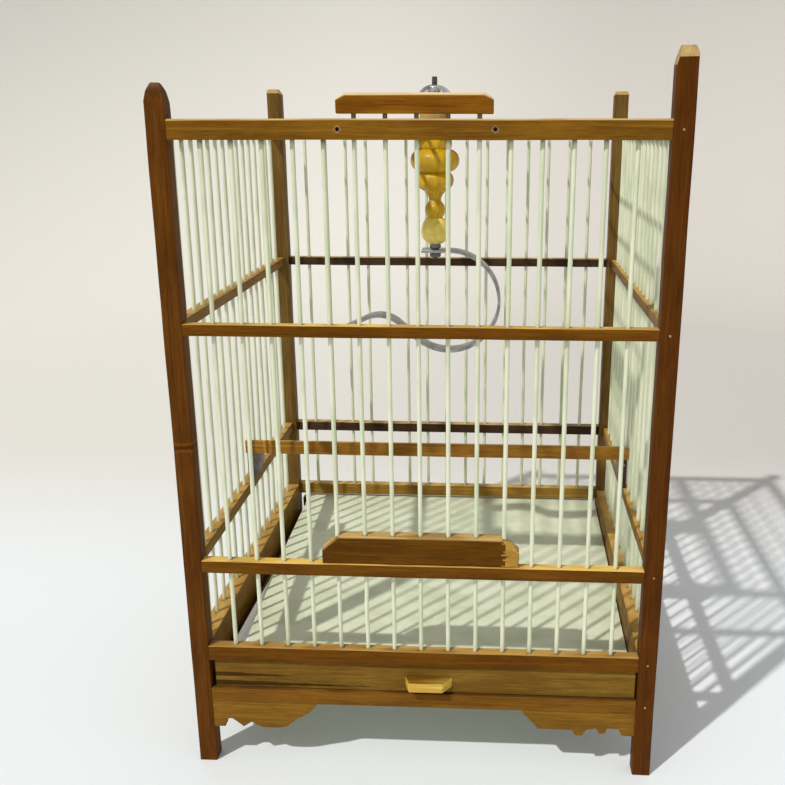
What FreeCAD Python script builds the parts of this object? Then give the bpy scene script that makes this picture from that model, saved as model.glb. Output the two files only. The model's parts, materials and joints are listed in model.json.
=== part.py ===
import FreeCAD, Part
import math
import os
import Sketcher

# A square bamboo songbird cage that stands on its own four corner posts. Millimetres, +Z up.
# Origin: the floor, at the centre of the square that the four posts stand on. The door and
# the drawer face -Y. Rails are flush with the outer faces of the posts and stand between them.

DIMENSIONS = {
    # frame
    "outer_width": 300.0,
    "outer_depth": 300.0,
    "post_side": 11.5,
    "post_height_front_left": 433.0,
    "post_height_front_right": 451.0,
    "post_height_back_left": 438.0,
    "post_height_back_right": 436.0,
    "tip_length_long": 15.0,
    "tip_length_short": 5.0,
    "rail_depth": 8.0,
    "top_rail_bottom": 402.8,
    "top_rail_height": 11.2,
    "middle_rail_bottom": 291.8,
    "middle_rail_height": 6.8,
    "lower_rail_bottom": 139.0,
    "lower_rail_height": 8.0,
    "base_rail_bottom": 76.5,
    "base_rail_height": 10.0,
    "sill_rail_bottom": 46.0,
    "sill_rail_height": 10.0,
    "runner_width": 15.0,
    "runner_height": 7.4,
    "runner_rise": 0.4,
    # bars
    "bar_diameter": 2.7,
    "bar_pitch": 17.3,
    "bar_inset": 4.5,
    "bar_socket": 6.0,
    "fixed_clearance": 0.05,
    "sliding_clearance": 0.08,
    # roof
    "roof_bar_level": 409.0,
    "roof_bar_socket": 5.0,
    "beam_width": 11.0,
    "beam_centre": 40.0,
    "board_width": 30.0,
    "board_height": 8.0,
    "board_bore_fit": 0.3,
    "spacer_diameter": 21.0,
    "spacer_height": 8.0,
    # pins and nails
    "pin_diameter": 1.5,
    "pin_length": 8.0,
    "nail_diameter": 2.2,
    "nail_length": 19.0,
    "nail_offset": 43.2,
    "nail_recess": 0.6,
    # sill brackets
    "bracket_thickness": 6.0,
    "bracket_setback": 0.5,
    # door
    "door_top_gap": 2.5,
    "door_bottom_gap": 0.2,
    "door_top_height": 11.0,
    "door_top_left": 44.1,
    "door_top_right": 42.2,
    "door_top_corner_x": 4.5,
    "door_top_corner_z": 3.0,
    "door_bottom_height": 18.6,
    "door_bottom_half": 61.5,
    "door_bottom_corner_x": 10.0,
    "door_bottom_corner_z": 8.5,
    "door_plate_thickness": 8.5,
    "door_plate_setback": 1.5,
    "door_bevel": 1.6,
    "door_bottom_socket": 10.0,
    # drawer
    "drawer_left": 135.5,
    "drawer_right": 137.5,
    "drawer_lift": 0.2,
    "drawer_front_thickness": 8.0,
    "drawer_front_height": 18.8,
    "drawer_recess": 2.0,
    "drawer_back_reach": 148.0,
    "batten_width": 10.0,
    "batten_height": 5.4,
    "back_batten_height": 16.2,
    "back_batten_thickness": 8.0,
    "sheet_left": 130.0,
    "sheet_front_gap": 0.2,
    "sheet_thickness": 1.5,
    "sheet_back_margin": 1.0,
    "handle_left": 10.5,
    "handle_right": 20.0,
    "handle_front_left": 7.5,
    "handle_front_right": 14.0,
    "handle_reach": 8.1,
    "handle_thickness": 6.9,
    "handle_rise": 4.3,
    # hanging hook, stored with its hook end inside the cage
    "rod_diameter": 4.0,
    "rod_bottom": 317.5,
    "rod_top": 442.0,
    "turning_fit": 0.08,
    "washer_diameter": 10.0,
    "washer_thickness": 0.8,
    "wing_nut_gap": 0.2,
    "wing_hub_diameter": 8.4,
    "wing_hub_height": 12.4,
    "wing_outer_radius": 13.7,
    "wing_thickness": 2.2,
    "wing_width": 7.0,
    "wing_low_angle": 12.0,
    "wing_turn": -25.0,
    "nut_across_corners": 8.1,
    "nut_height": 3.4,
    "upper_nut_bottom": 325.2,
    "lower_nut_bottom": 319.0,
    "strip_level": 323.7,
    "strip_thickness": 2.1,
    "strip_width": 15.0,
    "hook_radius": 36.4,
    "hook_centre": 10.0,
    "hook_eye_end": 9.5,
    "hook_leave_angle": 229.5,
    "hook_link_length": 17.6,
    "hook_tail_radius": 22.0,
    "hook_tail_turn": 65.5,
    "hook_tail_length": 20.0,
    # finial and ball, turned, on the rod
    "ball_radius": 10.4,
    "ball_bottom": 328.7,
    "ball_top": 347.2,
    # perch
    "perch_half_length": 145.2,
    "perch_thickness": 3.0,
    "perch_height": 10.2,
    "perch_bottom": 169.6,
    "perch_gap": 0.2,
    "perch_rest_thickness": 4.5,
    "perch_rest_outer": 144.0,
    "perch_rest_front": 10.2,
    "perch_rest_pin_drop": 4.0,
}

STATIONS = 15  # bars across each side; the middle one is on the centre line
LAST = STATIONS // 2  # stations run from -LAST to LAST
DOOR_LAST = 2  # the door's own bars are at the stations from -DOOR_LAST to DOOR_LAST
FIXED_FIRST = DOOR_LAST + 1  # the fixed front bars start beside the door
CLEAR = 1.0  # a cutter's overshoot past a face, so that no skin is left

doc = FreeCAD.newDocument("bird_cage")
sheet = doc.addObject("Spreadsheet::Sheet", "dims")
for row, (alias, value) in enumerate(DIMENSIONS.items(), start=1):
    sheet.set(f"A{row}", alias)
    sheet.set(f"B{row}", str(value))
    sheet.setAlias(f"B{row}", alias)
doc.recompute()

nodes = []


def size(alias):
    """A driving dimension, read back from the sheet."""
    return float(sheet.get(alias))


def bind(obj, **properties):
    """Tie properties to sheet expressions; x, y and z are the object's place."""
    for name, expression in properties.items():
        path = f"Placement.Base.{name}" if name in ("x", "y", "z") else name
        obj.setExpression(path, expression)
    return obj


def node(obj, label):
    """Mark an object as one physical piece of the cage, written to its own file."""
    obj.Label = label
    nodes.append(obj)
    return obj


def turned(obj, axis, angle):
    """Rotate an object about one of its own axes, before its place is bound."""
    obj.Placement = FreeCAD.Placement(FreeCAD.Vector(0, 0, 0), FreeCAD.Rotation(axis, angle))
    return obj


X_AXIS = FreeCAD.Vector(1, 0, 0)
Z_AXIS = FreeCAD.Vector(0, 0, 1)


def origin_feature(body, role):
    """One of a body's own origin planes or axes."""
    return next(item for item in body.Origin.OriginFeatures if item.Role == role)


def new_body(label):
    body = doc.addObject("PartDesign::Body", label)
    return node(body, label)


def add_box(body, name, **sizes):
    box = body.newObject("PartDesign::AdditiveBox", name)
    return bind(box, **sizes)


def cut_cylinder(body, name, axis=None, angle=0.0, **sizes):
    """A round hole, along Z unless it is turned."""
    cutter = body.newObject("PartDesign::SubtractiveCylinder", name)
    if axis is not None:
        turned(cutter, axis, angle)
    return bind(cutter, **sizes)


def repeat(body, feature, count, step):
    """Repeat a feature along the body's X axis."""
    pattern = body.newObject("PartDesign::LinearPattern", feature.Name + "_row")
    pattern.Originals = [feature]
    pattern.Direction = (origin_feature(body, "X_Axis"), [""])
    pattern.Occurrences = count
    pattern.setExpression("Length", f"{count - 1} * {step}")
    body.Tip = pattern
    return pattern


def new_sketch(body, name, plane):
    sketch = body.newObject("Sketcher::SketchObject", name)
    sketch.AttachmentSupport = [(origin_feature(body, plane), "")]
    sketch.MapMode = "FlatFace"
    return sketch


def outline(sketch, corners):
    """A closed outline of straight lines whose corners are pairs of sheet expressions."""
    places = [FreeCAD.Vector(evaluate(u), evaluate(v), 0) for u, v in corners]
    count = len(places)
    for i in range(count):
        sketch.addGeometry(Part.LineSegment(places[i], places[(i + 1) % count]), False)
    for i in range(count):
        sketch.addConstraint(Sketcher.Constraint("Coincident", i, 2, (i + 1) % count, 1))
    for i, (u, v) in enumerate(corners):
        for kind, expression, value in (("DistanceX", u, places[i].x), ("DistanceY", v, places[i].y)):
            index = sketch.addConstraint(Sketcher.Constraint(kind, -1, 1, i, 1, value))
            sketch.setExpression(f"Constraints[{index}]", expression)
    return sketch


def evaluate(expression):
    """The number that a sheet expression gives now."""
    value = sheet.evalExpression(expression.replace("dims.", ""))
    return float(getattr(value, "Value", value))


def pad(body, sketch, length):
    solid = body.newObject("PartDesign::Pad", sketch.Name + "_pad")
    solid.Profile = sketch
    solid.setExpression("Length", length)
    return solid


def edges_where(feature, test):
    """Names of a feature's edges whose middle passes a test."""
    doc.recompute()
    names = []
    for index, edge in enumerate(feature.Shape.Edges, start=1):
        middle = edge.valueAt((edge.FirstParameter + edge.LastParameter) / 2)
        if test(middle, edge):
            names.append(f"Edge{index}")
    return names


# ---------------------------------------------------------------- posts

def post(label, side_x, side_y, height, tip, shares):
    """A square corner post, cut to a tip through squares that are given shares of its side."""
    body = new_body(label)
    shaft = new_sketch(body, label + "_section", "XY_Plane")
    half = "dims.post_side / 2"
    square = [(f"-{half}", f"-{half}"), (half, f"-{half}"), (half, half), (f"-{half}", half)]
    outline(shaft, square)
    pad(body, shaft, f"{height} - {tip}")
    levels = [(0.0, 1.0)] + shares
    sections = []
    for index, (rise, share) in enumerate(levels):
        section = new_sketch(body, f"{label}_tip_{index}", "XY_Plane")
        outline(section, [(f"{share} * ({u})", f"{share} * ({v})") for u, v in square])
        section.setExpression("AttachmentOffset.Base.z", f"{height} - {tip} * {1 - rise}")
        sections.append(section)
    loft = body.newObject("PartDesign::AdditiveLoft", label + "_tip")
    loft.Profile = sections[0]
    loft.Sections = sections[1:]
    loft.Ruled = True
    for level in LEVELS:
        hole = cut_cylinder(
            body, f"{label}_{level}_pin_hole", X_AXIS, 90.0 * side_y,
            Radius="dims.pin_diameter / 2 + dims.fixed_clearance",
            Height=f"dims.pin_length + {CLEAR}",
            y=f"{side_y} * (dims.post_side / 2 + {CLEAR})",
            z=f"dims.{level}_rail_bottom + dims.{level}_rail_height / 2",
        )
        body.Tip = hole
    return bind(
        body,
        x=f"{side_x} * (dims.outer_width - dims.post_side) / 2",
        y=f"{side_y} * (dims.outer_depth - dims.post_side) / 2",
    )


LEVELS = ("top", "middle", "lower", "base", "sill")
# Tips as (share of the tip's length, share of the post's side)
ARCHED = [(0.35, 0.95), (0.7, 0.76), (0.9, 0.52), (1.0, 0.34)]
PYRAMID = [(1.0, 0.46)]
BLUNT = [(1.0, 0.62)]

post("post_front_left", -1, -1, "dims.post_height_front_left", "dims.tip_length_long", ARCHED)
post("post_front_right", 1, -1, "dims.post_height_front_right", "dims.tip_length_long", PYRAMID)
post("post_back_left", -1, 1, "dims.post_height_back_left", "dims.tip_length_short", BLUNT)
post("post_back_right", 1, 1, "dims.post_height_back_right", "dims.tip_length_short", BLUNT)


# ---------------------------------------------------------------- rails

SIDES = {"front": 0.0, "right": 90.0, "back": 180.0, "left": -90.0}
FIXED_HOLE = "dims.bar_diameter / 2 + dims.fixed_clearance"
SLIDING_HOLE = "dims.bar_diameter / 2 + dims.sliding_clearance"
RUNNER_TOP = "(dims.sill_rail_bottom + dims.sill_rail_height + dims.runner_rise)"


def bar_holes(body, name, height, first, last, radius, kind):
    """A row of bar holes in a rail: right through it, or blind from its bottom or its top."""
    spans = {
        "through": (f"-{CLEAR}", f"{height} + {2 * CLEAR}"),
        "from_below": (f"-{CLEAR}", f"dims.bar_socket + {CLEAR}"),
        "from_above": (f"{height} - dims.bar_socket", f"dims.bar_socket + {CLEAR}"),
    }
    start, length = spans[kind]
    hole = cut_cylinder(
        body, f"{body.Label}_{name}", Radius=radius, Height=length,
        x=f"{first} * dims.bar_pitch", y="dims.bar_inset", z=start,
    )
    return repeat(body, hole, last - first + 1, "dims.bar_pitch")


def rail(side, level):
    """A rail in its own frame (outer face at y = 0, bottom at z = 0), then set on its side."""
    label = f"rail_{side}_{level}"
    height = f"dims.{level}_rail_height"
    bottom = f"dims.{level}_rail_bottom"
    body = new_body(label)
    deep = level == "base" and side in ("left", "right")
    if deep:
        # the base rails at the sides are tall boards that stand on the drawer runners
        height = f"({bottom} + {height} - {RUNNER_TOP})"
        bottom = RUNNER_TOP
    depth = "dims.post_side" if deep else "dims.rail_depth"
    length = "dims.outer_width - 2 * dims.post_side"
    add_box(body, label + "_stick", Length=length, Width=depth, Height=height, x=f"-({length}) / 2")
    if level == "top":
        kinds = ("from_below", "through")
    elif level in ("middle", "lower"):
        kinds = ("through", "through" if level == "middle" else "from_below")
    else:
        kinds = ("from_above", "from_above")
    if level != "sill":
        if side == "front" and level in ("top", "middle"):
            bar_holes(body, "left_holes", height, -LAST, -FIXED_FIRST, FIXED_HOLE, kinds[0])
            bar_holes(body, "door_holes", height, -DOOR_LAST, DOOR_LAST, SLIDING_HOLE, kinds[1])
            bar_holes(body, "right_holes", height, FIXED_FIRST, LAST, FIXED_HOLE, kinds[0])
        elif side == "front" and level == "lower":
            bar_holes(body, "left_holes", height, -LAST, -FIXED_FIRST, FIXED_HOLE, kinds[0])
            bar_holes(body, "short_holes", height, -DOOR_LAST, DOOR_LAST, FIXED_HOLE, kinds[1])
            bar_holes(body, "right_holes", height, FIXED_FIRST, LAST, FIXED_HOLE, kinds[0])
        else:
            bar_holes(body, "holes", height, -LAST, LAST, FIXED_HOLE, kinds[0])
    if level == "top" and side in ("front", "back"):
        for name, first in ROOF_ROWS.items():
            hole = cut_cylinder(
                body, f"{label}_roof_{name}", X_AXIS, 90.0,
                Radius=FIXED_HOLE, Height=f"dims.roof_bar_socket + {CLEAR}",
                x=f"{first} * dims.bar_pitch", y=f"dims.rail_depth + {CLEAR}",
                z="dims.roof_bar_level - dims.top_rail_bottom",
            )
            repeat(body, hole, ROOF_ROW, "dims.bar_pitch")
        for sign in (-1, 1):
            hole = cut_cylinder(
                body, f"{label}_nail_{'right' if sign > 0 else 'left'}", X_AXIS, -90.0,
                Radius="dims.nail_diameter / 2 + dims.fixed_clearance",
                Height=f"dims.rail_depth + {2 * CLEAR}",
                x=f"{sign} * dims.nail_offset", y=f"-{CLEAR}", z="dims.top_rail_height / 2",
            )
            body.Tip = hole
    turned(body, Z_AXIS, SIDES[side])
    places = {
        "front": {"y": "-dims.outer_depth / 2"},
        "back": {"y": "dims.outer_depth / 2"},
        "left": {"x": "-dims.outer_width / 2"},
        "right": {"x": "dims.outer_width / 2"},
    }
    return bind(body, z=bottom, **places[side])


# The roof bars lie half a pitch off the upright bars, in three rows; a beam stands between rows.
ROOF_ROW = 4
ROOF_ROWS = {"left": -6.5, "middle": -1.5, "right": 3.5}

for side_name in SIDES:
    for level_name in LEVELS:
        rail(side_name, level_name)


# ---------------------------------------------------------------- bars

def round_bar(label, axis=None, angle=0.0, radius="dims.bar_diameter / 2", **places):
    bar = doc.addObject("Part::Cylinder", label)
    if axis is not None:
        turned(bar, axis, angle)
    return bind(bar, Radius=radius, **places)


def group(label, pieces):
    """Equal pieces that share one node, each still a separate solid."""
    bundle = doc.addObject("Part::Compound", label)
    bundle.Links = pieces
    return node(bundle, label)


TALL_START = "dims.base_rail_bottom + dims.base_rail_height - dims.bar_socket"
TALL_LENGTH = f"dims.top_rail_bottom + dims.bar_socket - ({TALL_START})"
SHORT_LENGTH = f"dims.lower_rail_bottom + dims.bar_socket - ({TALL_START})"
EDGE_X = "(dims.outer_width / 2 - dims.bar_inset)"
EDGE_Y = "(dims.outer_depth / 2 - dims.bar_inset)"


def upright_bars(label, side, first, last, start, length):
    bars = []
    for station in range(first, last + 1):
        along = f"{station} * dims.bar_pitch"
        place = {
            "front": {"x": along, "y": f"-{EDGE_Y}"},
            "back": {"x": along, "y": EDGE_Y},
            "left": {"x": f"-{EDGE_X}", "y": along},
            "right": {"x": EDGE_X, "y": along},
        }[side]
        bars.append(round_bar(f"{label}_{station + LAST + 1}", Height=length, z=start, **place))
    return group(label, bars)


upright_bars("front_bars_left", "front", -LAST, -FIXED_FIRST, TALL_START, TALL_LENGTH)
upright_bars("front_bars_right", "front", FIXED_FIRST, LAST, TALL_START, TALL_LENGTH)
upright_bars("front_short_bars", "front", -DOOR_LAST, DOOR_LAST, TALL_START, SHORT_LENGTH)
for side_name in ("back", "left", "right"):
    upright_bars(f"{side_name}_bars", side_name, -LAST, LAST, TALL_START, TALL_LENGTH)

ROOF_REACH = "(dims.outer_depth / 2 - dims.rail_depth + dims.roof_bar_socket)"
roof_pieces = []
for row_name, row_first in ROOF_ROWS.items():
    for step in range(ROOF_ROW):
        roof_pieces.append(round_bar(
            f"roof_bar_{row_name}_{step}", X_AXIS, -90.0, Height=f"2 * {ROOF_REACH}",
            x=f"{row_first + step} * dims.bar_pitch", y=f"-{ROOF_REACH}", z="dims.roof_bar_level",
        ))
group("roof_bars", roof_pieces)


# ---------------------------------------------------------------- roof beams and board

for beam_side, sign in (("left", -1), ("right", 1)):
    beam = new_body(f"roof_beam_{beam_side}")
    add_box(
        beam, f"beam_{beam_side}_stick", Length="dims.beam_width",
        Width="dims.outer_depth - 2 * dims.rail_depth", Height="dims.top_rail_height",
        x="-dims.beam_width / 2", y="-dims.outer_depth / 2 + dims.rail_depth",
    )
    for end_side, end in (("front", -1), ("back", 1)):
        beam.Tip = cut_cylinder(
            beam, f"beam_{beam_side}_{end_side}_nail_hole", X_AXIS, 90.0 * end,
            Radius="dims.nail_diameter / 2 + dims.fixed_clearance",
            Height=f"dims.nail_length + dims.nail_recess - dims.rail_depth + {CLEAR}",
            x=f"{sign} * (dims.nail_offset - dims.beam_centre)",
            y=f"{end} * (dims.outer_depth / 2 - dims.rail_depth + {CLEAR})",
            z="dims.top_rail_height / 2",
        )
    bind(beam, x=f"{sign} * dims.beam_centre", z="dims.top_rail_bottom")

# The board lies between the beams, flush with their tops; the middle row of roof bars runs
# through it.
ROOF_TOP = "(dims.top_rail_bottom + dims.top_rail_height)"
BOARD_LENGTH = "(2 * dims.beam_centre - dims.beam_width)"
board = new_body("roof_centre_board")
add_box(
    board, "board_plank", Length=BOARD_LENGTH, Width="dims.board_width",
    Height="dims.board_height", x=f"-{BOARD_LENGTH} / 2", y="-dims.board_width / 2",
)
bar_hole = cut_cylinder(
    board, "board_bar_hole", X_AXIS, 90.0,
    Radius=FIXED_HOLE, Height=f"dims.board_width + {2 * CLEAR}",
    x=f"{ROOF_ROWS['middle']} * dims.bar_pitch", y=f"dims.board_width / 2 + {CLEAR}",
    z=f"dims.roof_bar_level - ({ROOF_TOP} - dims.board_height)",
)
repeat(board, bar_hole, ROOF_ROW, "dims.bar_pitch")
board.Tip = cut_cylinder(
    board, "board_rod_hole", Radius="dims.rod_diameter / 2 + dims.board_bore_fit",
    Height=f"dims.board_height + {2 * CLEAR}", z=f"-{CLEAR}",
)
bind(board, z=f"{ROOF_TOP} - dims.board_height")


# ---------------------------------------------------------------- pins and nails

post_pins = []
for front_back, sign_y in (("front", -1), ("back", 1)):
    for left_right, sign_x in (("left", -1), ("right", 1)):
        for level_name in LEVELS:
            post_pins.append(round_bar(
                f"pin_{front_back}_{left_right}_{level_name}", X_AXIS, 90.0 * sign_y,
                radius="dims.pin_diameter / 2", Height="dims.pin_length",
                x=f"{sign_x} * (dims.outer_width - dims.post_side) / 2",
                y=f"{sign_y} * dims.outer_depth / 2",
                z=f"dims.{level_name}_rail_bottom + dims.{level_name}_rail_height / 2",
            ))

beam_nails = []
for front_back, sign_y in (("front", -1), ("back", 1)):
    for left_right, sign_x in (("left", -1), ("right", 1)):
        beam_nails.append(round_bar(
            f"nail_{front_back}_{left_right}", X_AXIS, 90.0 * sign_y,
            radius="dims.nail_diameter / 2", Height="dims.nail_length",
            x=f"{sign_x} * dims.nail_offset",
            y=f"{sign_y} * (dims.outer_depth / 2 - dims.nail_recess)",
            z="dims.top_rail_bottom + dims.top_rail_height / 2",
        ))
group("beam_nails", beam_nails)


# ---------------------------------------------------------------- scalloped sill brackets

# Each outline is (distance from the post, height under the sill rail), from the post outwards.
# The left one has a square notch, a tooth and a long belly; the right one is stepped.
LEFT_SCALLOP = [
    (0.0, 19.6), (7.6, 19.4), (8.8, 13.4), (12.6, 13.3), (19.9, 19.2), (25.4, 15.6),
    (32.6, 19.3), (42.7, 19.4), (49.2, 18.0), (55.7, 12.5), (64.7, 6.8), (70.0, 0.0),
]
RIGHT_SCALLOP = [
    (0.0, 17.0), (7.9, 16.8), (10.4, 12.2), (17.2, 11.8), (19.2, 15.8), (22.4, 15.8),
    (24.5, 12.1), (31.0, 13.0), (33.4, 17.6), (38.0, 17.7), (40.2, 13.8), (62.2, 13.4),
    (69.4, 5.4), (74.2, 0.0),
]


def sill_bracket(label, sign, scallop):
    body = new_body(label)
    sketch = new_sketch(body, label + "_outline", "XZ_Plane")
    inner = "(dims.outer_width / 2 - dims.post_side)"
    corners = [(f"{sign} * ({inner} - {out})", f"-{down}") for out, down in scallop]
    outline(sketch, corners + [(f"{sign} * {inner}", "0")])
    pad(body, sketch, "dims.bracket_thickness")
    return bind(
        body, z="dims.sill_rail_bottom",
        y="-dims.outer_depth / 2 + dims.bracket_setback + dims.bracket_thickness",
    )


sill_bracket("sill_bracket_left", -1, LEFT_SCALLOP)
sill_bracket("sill_bracket_right", 1, RIGHT_SCALLOP)


# ---------------------------------------------------------------- drawer runners

for runner_side, sign in (("left", -1), ("right", 1)):
    runner_label = f"drawer_runner_{runner_side}"
    runner = node(doc.addObject("Part::Box", runner_label), runner_label)
    inner_face = "(dims.outer_width / 2 - dims.rail_depth)"
    bind(
        runner, Length="dims.runner_width", Width="dims.outer_depth - 2 * dims.post_side",
        Height="dims.runner_height",
        x=f"-{inner_face}" if sign < 0 else f"{inner_face} - dims.runner_width",
        y="-dims.outer_depth / 2 + dims.post_side",
        z=f"{RUNNER_TOP} - dims.runner_height",
    )


# ---------------------------------------------------------------- sliding door

DOOR_BACK = "-dims.outer_depth / 2 + dims.door_plate_setback + dims.door_plate_thickness"
DOOR_BAR_Y = "dims.bar_inset - dims.door_plate_setback - dims.door_plate_thickness"
DOOR_BOTTOM = "dims.lower_rail_bottom + dims.lower_rail_height + dims.door_bottom_gap"
DOOR_TOP = "dims.top_rail_bottom + dims.top_rail_height + dims.door_top_gap"


def door_plate(label, left, right, corner_x, corner_z, height, level, socket_start, socket):
    """A plate in its own frame: back face at y = 0, bottom at z = 0, upper corners cut off."""
    body = new_body(label)
    sketch = new_sketch(body, label + "_outline", "XZ_Plane")
    outline(sketch, [
        (f"-{left}", "0"), (right, "0"), (right, f"{height} - {corner_z}"),
        (f"{right} - {corner_x}", height), (f"-{left} + {corner_x}", height),
        (f"-{left}", f"{height} - {corner_z}"),
    ])
    solid = pad(body, sketch, "dims.door_plate_thickness")
    front = -size("door_plate_thickness")
    low = evaluate(f"{height} - {corner_z}") + 0.01
    bevel = body.newObject("PartDesign::Chamfer", label + "_bevel")
    bevel.Base = (solid, edges_where(
        solid, lambda middle, edge: abs(middle.y - front) < 0.01 and middle.z > low))
    bevel.setExpression("Size", "dims.door_bevel")
    hole = cut_cylinder(
        body, label + "_socket", Radius=FIXED_HOLE, Height=f"{socket} + {CLEAR}",
        x=f"-{DOOR_LAST} * dims.bar_pitch", y=DOOR_BAR_Y, z=socket_start,
    )
    repeat(body, hole, 2 * DOOR_LAST + 1, "dims.bar_pitch")
    return bind(body, y=DOOR_BACK, z=level)


door_plate(
    "door_top_plate", "dims.door_top_left", "dims.door_top_right", "dims.door_top_corner_x",
    "dims.door_top_corner_z", "dims.door_top_height", DOOR_TOP, f"-{CLEAR}", "dims.bar_socket",
)
bottom_plate = door_plate(
    "door_bottom_plate", "dims.door_bottom_half", "dims.door_bottom_half",
    "dims.door_bottom_corner_x", "dims.door_bottom_corner_z", "dims.door_bottom_height", DOOR_BOTTOM,
    "dims.door_bottom_height - dims.door_bottom_socket", "dims.door_bottom_socket",
)
for guide_side, sign in (("left", -1), ("right", 1)):
    bottom_plate.Tip = cut_cylinder(
        bottom_plate, f"guide_hole_{guide_side}", Radius=SLIDING_HOLE,
        Height=f"dims.door_bottom_height + {2 * CLEAR}",
        x=f"{sign * FIXED_FIRST} * dims.bar_pitch", y=DOOR_BAR_Y, z=f"-{CLEAR}",
    )

DOOR_BAR_START = f"{DOOR_BOTTOM} + dims.door_bottom_height - dims.door_bottom_socket"
upright_bars(
    "door_bars", "front", -DOOR_LAST, DOOR_LAST, DOOR_BAR_START,
    f"{DOOR_TOP} + dims.bar_socket - ({DOOR_BAR_START})",
)


# ---------------------------------------------------------------- drawer

DRAWER_FRONT = "(-dims.outer_depth / 2 + dims.drawer_recess)"
DRAWER_INSIDE = f"({DRAWER_FRONT} + dims.drawer_front_thickness)"
DRAWER_BOTTOM = f"({RUNNER_TOP} + dims.drawer_lift)"
BATTEN_LENGTH = f"dims.drawer_back_reach - dims.back_batten_thickness - {DRAWER_INSIDE}"


def stick(label, **sizes):
    return bind(node(doc.addObject("Part::Box", label), label), **sizes)


stick(
    "drawer_front", Length="dims.drawer_left + dims.drawer_right",
    Width="dims.drawer_front_thickness", Height="dims.drawer_front_height",
    x="-dims.drawer_left", y=DRAWER_FRONT, z=DRAWER_BOTTOM,
)
stick(
    "drawer_batten_left", Length="dims.batten_width", Width=BATTEN_LENGTH, Height="dims.batten_height",
    x="-dims.drawer_left", y=DRAWER_INSIDE, z=DRAWER_BOTTOM,
)
stick(
    "drawer_batten_right", Length="dims.batten_width", Width=BATTEN_LENGTH, Height="dims.batten_height",
    x="dims.drawer_right - dims.batten_width", y=DRAWER_INSIDE, z=DRAWER_BOTTOM,
)
stick(
    "drawer_batten_back", Length="dims.drawer_left + dims.drawer_right",
    Width="dims.back_batten_thickness", Height="dims.back_batten_height",
    x="-dims.drawer_left", y="dims.drawer_back_reach - dims.back_batten_thickness", z=DRAWER_BOTTOM,
)

# The sheet slopes up from the low side battens to the tall back batten.
SHEET_START = f"({DRAWER_INSIDE} + dims.sheet_front_gap)"
SHEET_RUN = f"(dims.drawer_back_reach - dims.back_batten_thickness - {SHEET_START})"
sheet_tilt = math.degrees(math.atan(evaluate(
    f"(dims.back_batten_height - dims.batten_height) / {SHEET_RUN}")))
floor_sheet = node(doc.addObject("Part::Box", "drawer_floor_sheet"), "drawer_floor_sheet")
turned(floor_sheet, X_AXIS, sheet_tilt)
bind(
    floor_sheet, Length="dims.sheet_left + dims.drawer_right",
    Width=f"{SHEET_RUN} + dims.back_batten_thickness - dims.sheet_back_margin",
    Height="dims.sheet_thickness",
    x="-dims.sheet_left", y=SHEET_START, z=f"{DRAWER_BOTTOM} + dims.batten_height",
)

handle = new_body("drawer_handle")
handle_plan = new_sketch(handle, "handle_plan", "XY_Plane")
outline(handle_plan, [
    ("-dims.handle_left", "0"), ("-dims.handle_front_left", "-dims.handle_reach"),
    ("dims.handle_front_right", "-dims.handle_reach"), ("dims.handle_right", "0"),
])
pad(handle, handle_plan, "dims.handle_thickness")
bind(handle, y=DRAWER_FRONT, z=f"{DRAWER_BOTTOM} + dims.handle_rise")


# ---------------------------------------------------------------- hanging hook on its rod

rod = node(round_bar(
    "threaded_rod", radius="dims.rod_diameter / 2",
    Height="dims.rod_top - dims.rod_bottom", z="dims.rod_bottom",
), "threaded_rod")
SPACER_TOP = f"{ROOF_TOP} + dims.spacer_height"
SNUG_BORE = "dims.rod_diameter / 2 + dims.fixed_clearance"
TURNING_BORE = "dims.rod_diameter / 2 + dims.turning_fit"


def ring_cut(label, blank, bore_radius, level, height):
    """A blank with a round bore along Z."""
    bore = round_bar(
        label + "_bore", radius=bore_radius,
        Height=f"{height} + {2 * CLEAR}", z=f"{level} - {CLEAR}",
    )
    cut = doc.addObject("Part::Cut", label)
    cut.Base = blank
    cut.Tool = bore
    return cut


spacer_blank = round_bar(
    "spacer_blank", radius="dims.spacer_diameter / 2", Height="dims.spacer_height", z=ROOF_TOP,
)
spacer = ring_cut("roof_spacer", spacer_blank, SNUG_BORE, ROOF_TOP, "dims.spacer_height")
node(spacer, "roof_spacer")
washer_blank = round_bar(
    "washer_blank", radius="dims.washer_diameter / 2", Height="dims.washer_thickness", z=SPACER_TOP,
)
washer = ring_cut("roof_washer", washer_blank, SNUG_BORE, SPACER_TOP, "dims.washer_thickness")
node(washer, "roof_washer")

nuts = []
for nut_name in ("upper", "lower"):
    hexagon = doc.addObject("Part::Prism", f"{nut_name}_nut_blank")
    hexagon.Polygon = 6
    nut_level = f"dims.{nut_name}_nut_bottom"
    bind(hexagon, Circumradius="dims.nut_across_corners / 2", Height="dims.nut_height", z=nut_level)
    nuts.append(ring_cut(f"{nut_name}_nut", hexagon, SNUG_BORE, nut_level, "dims.nut_height"))
group("hook_nuts", nuts)

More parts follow.
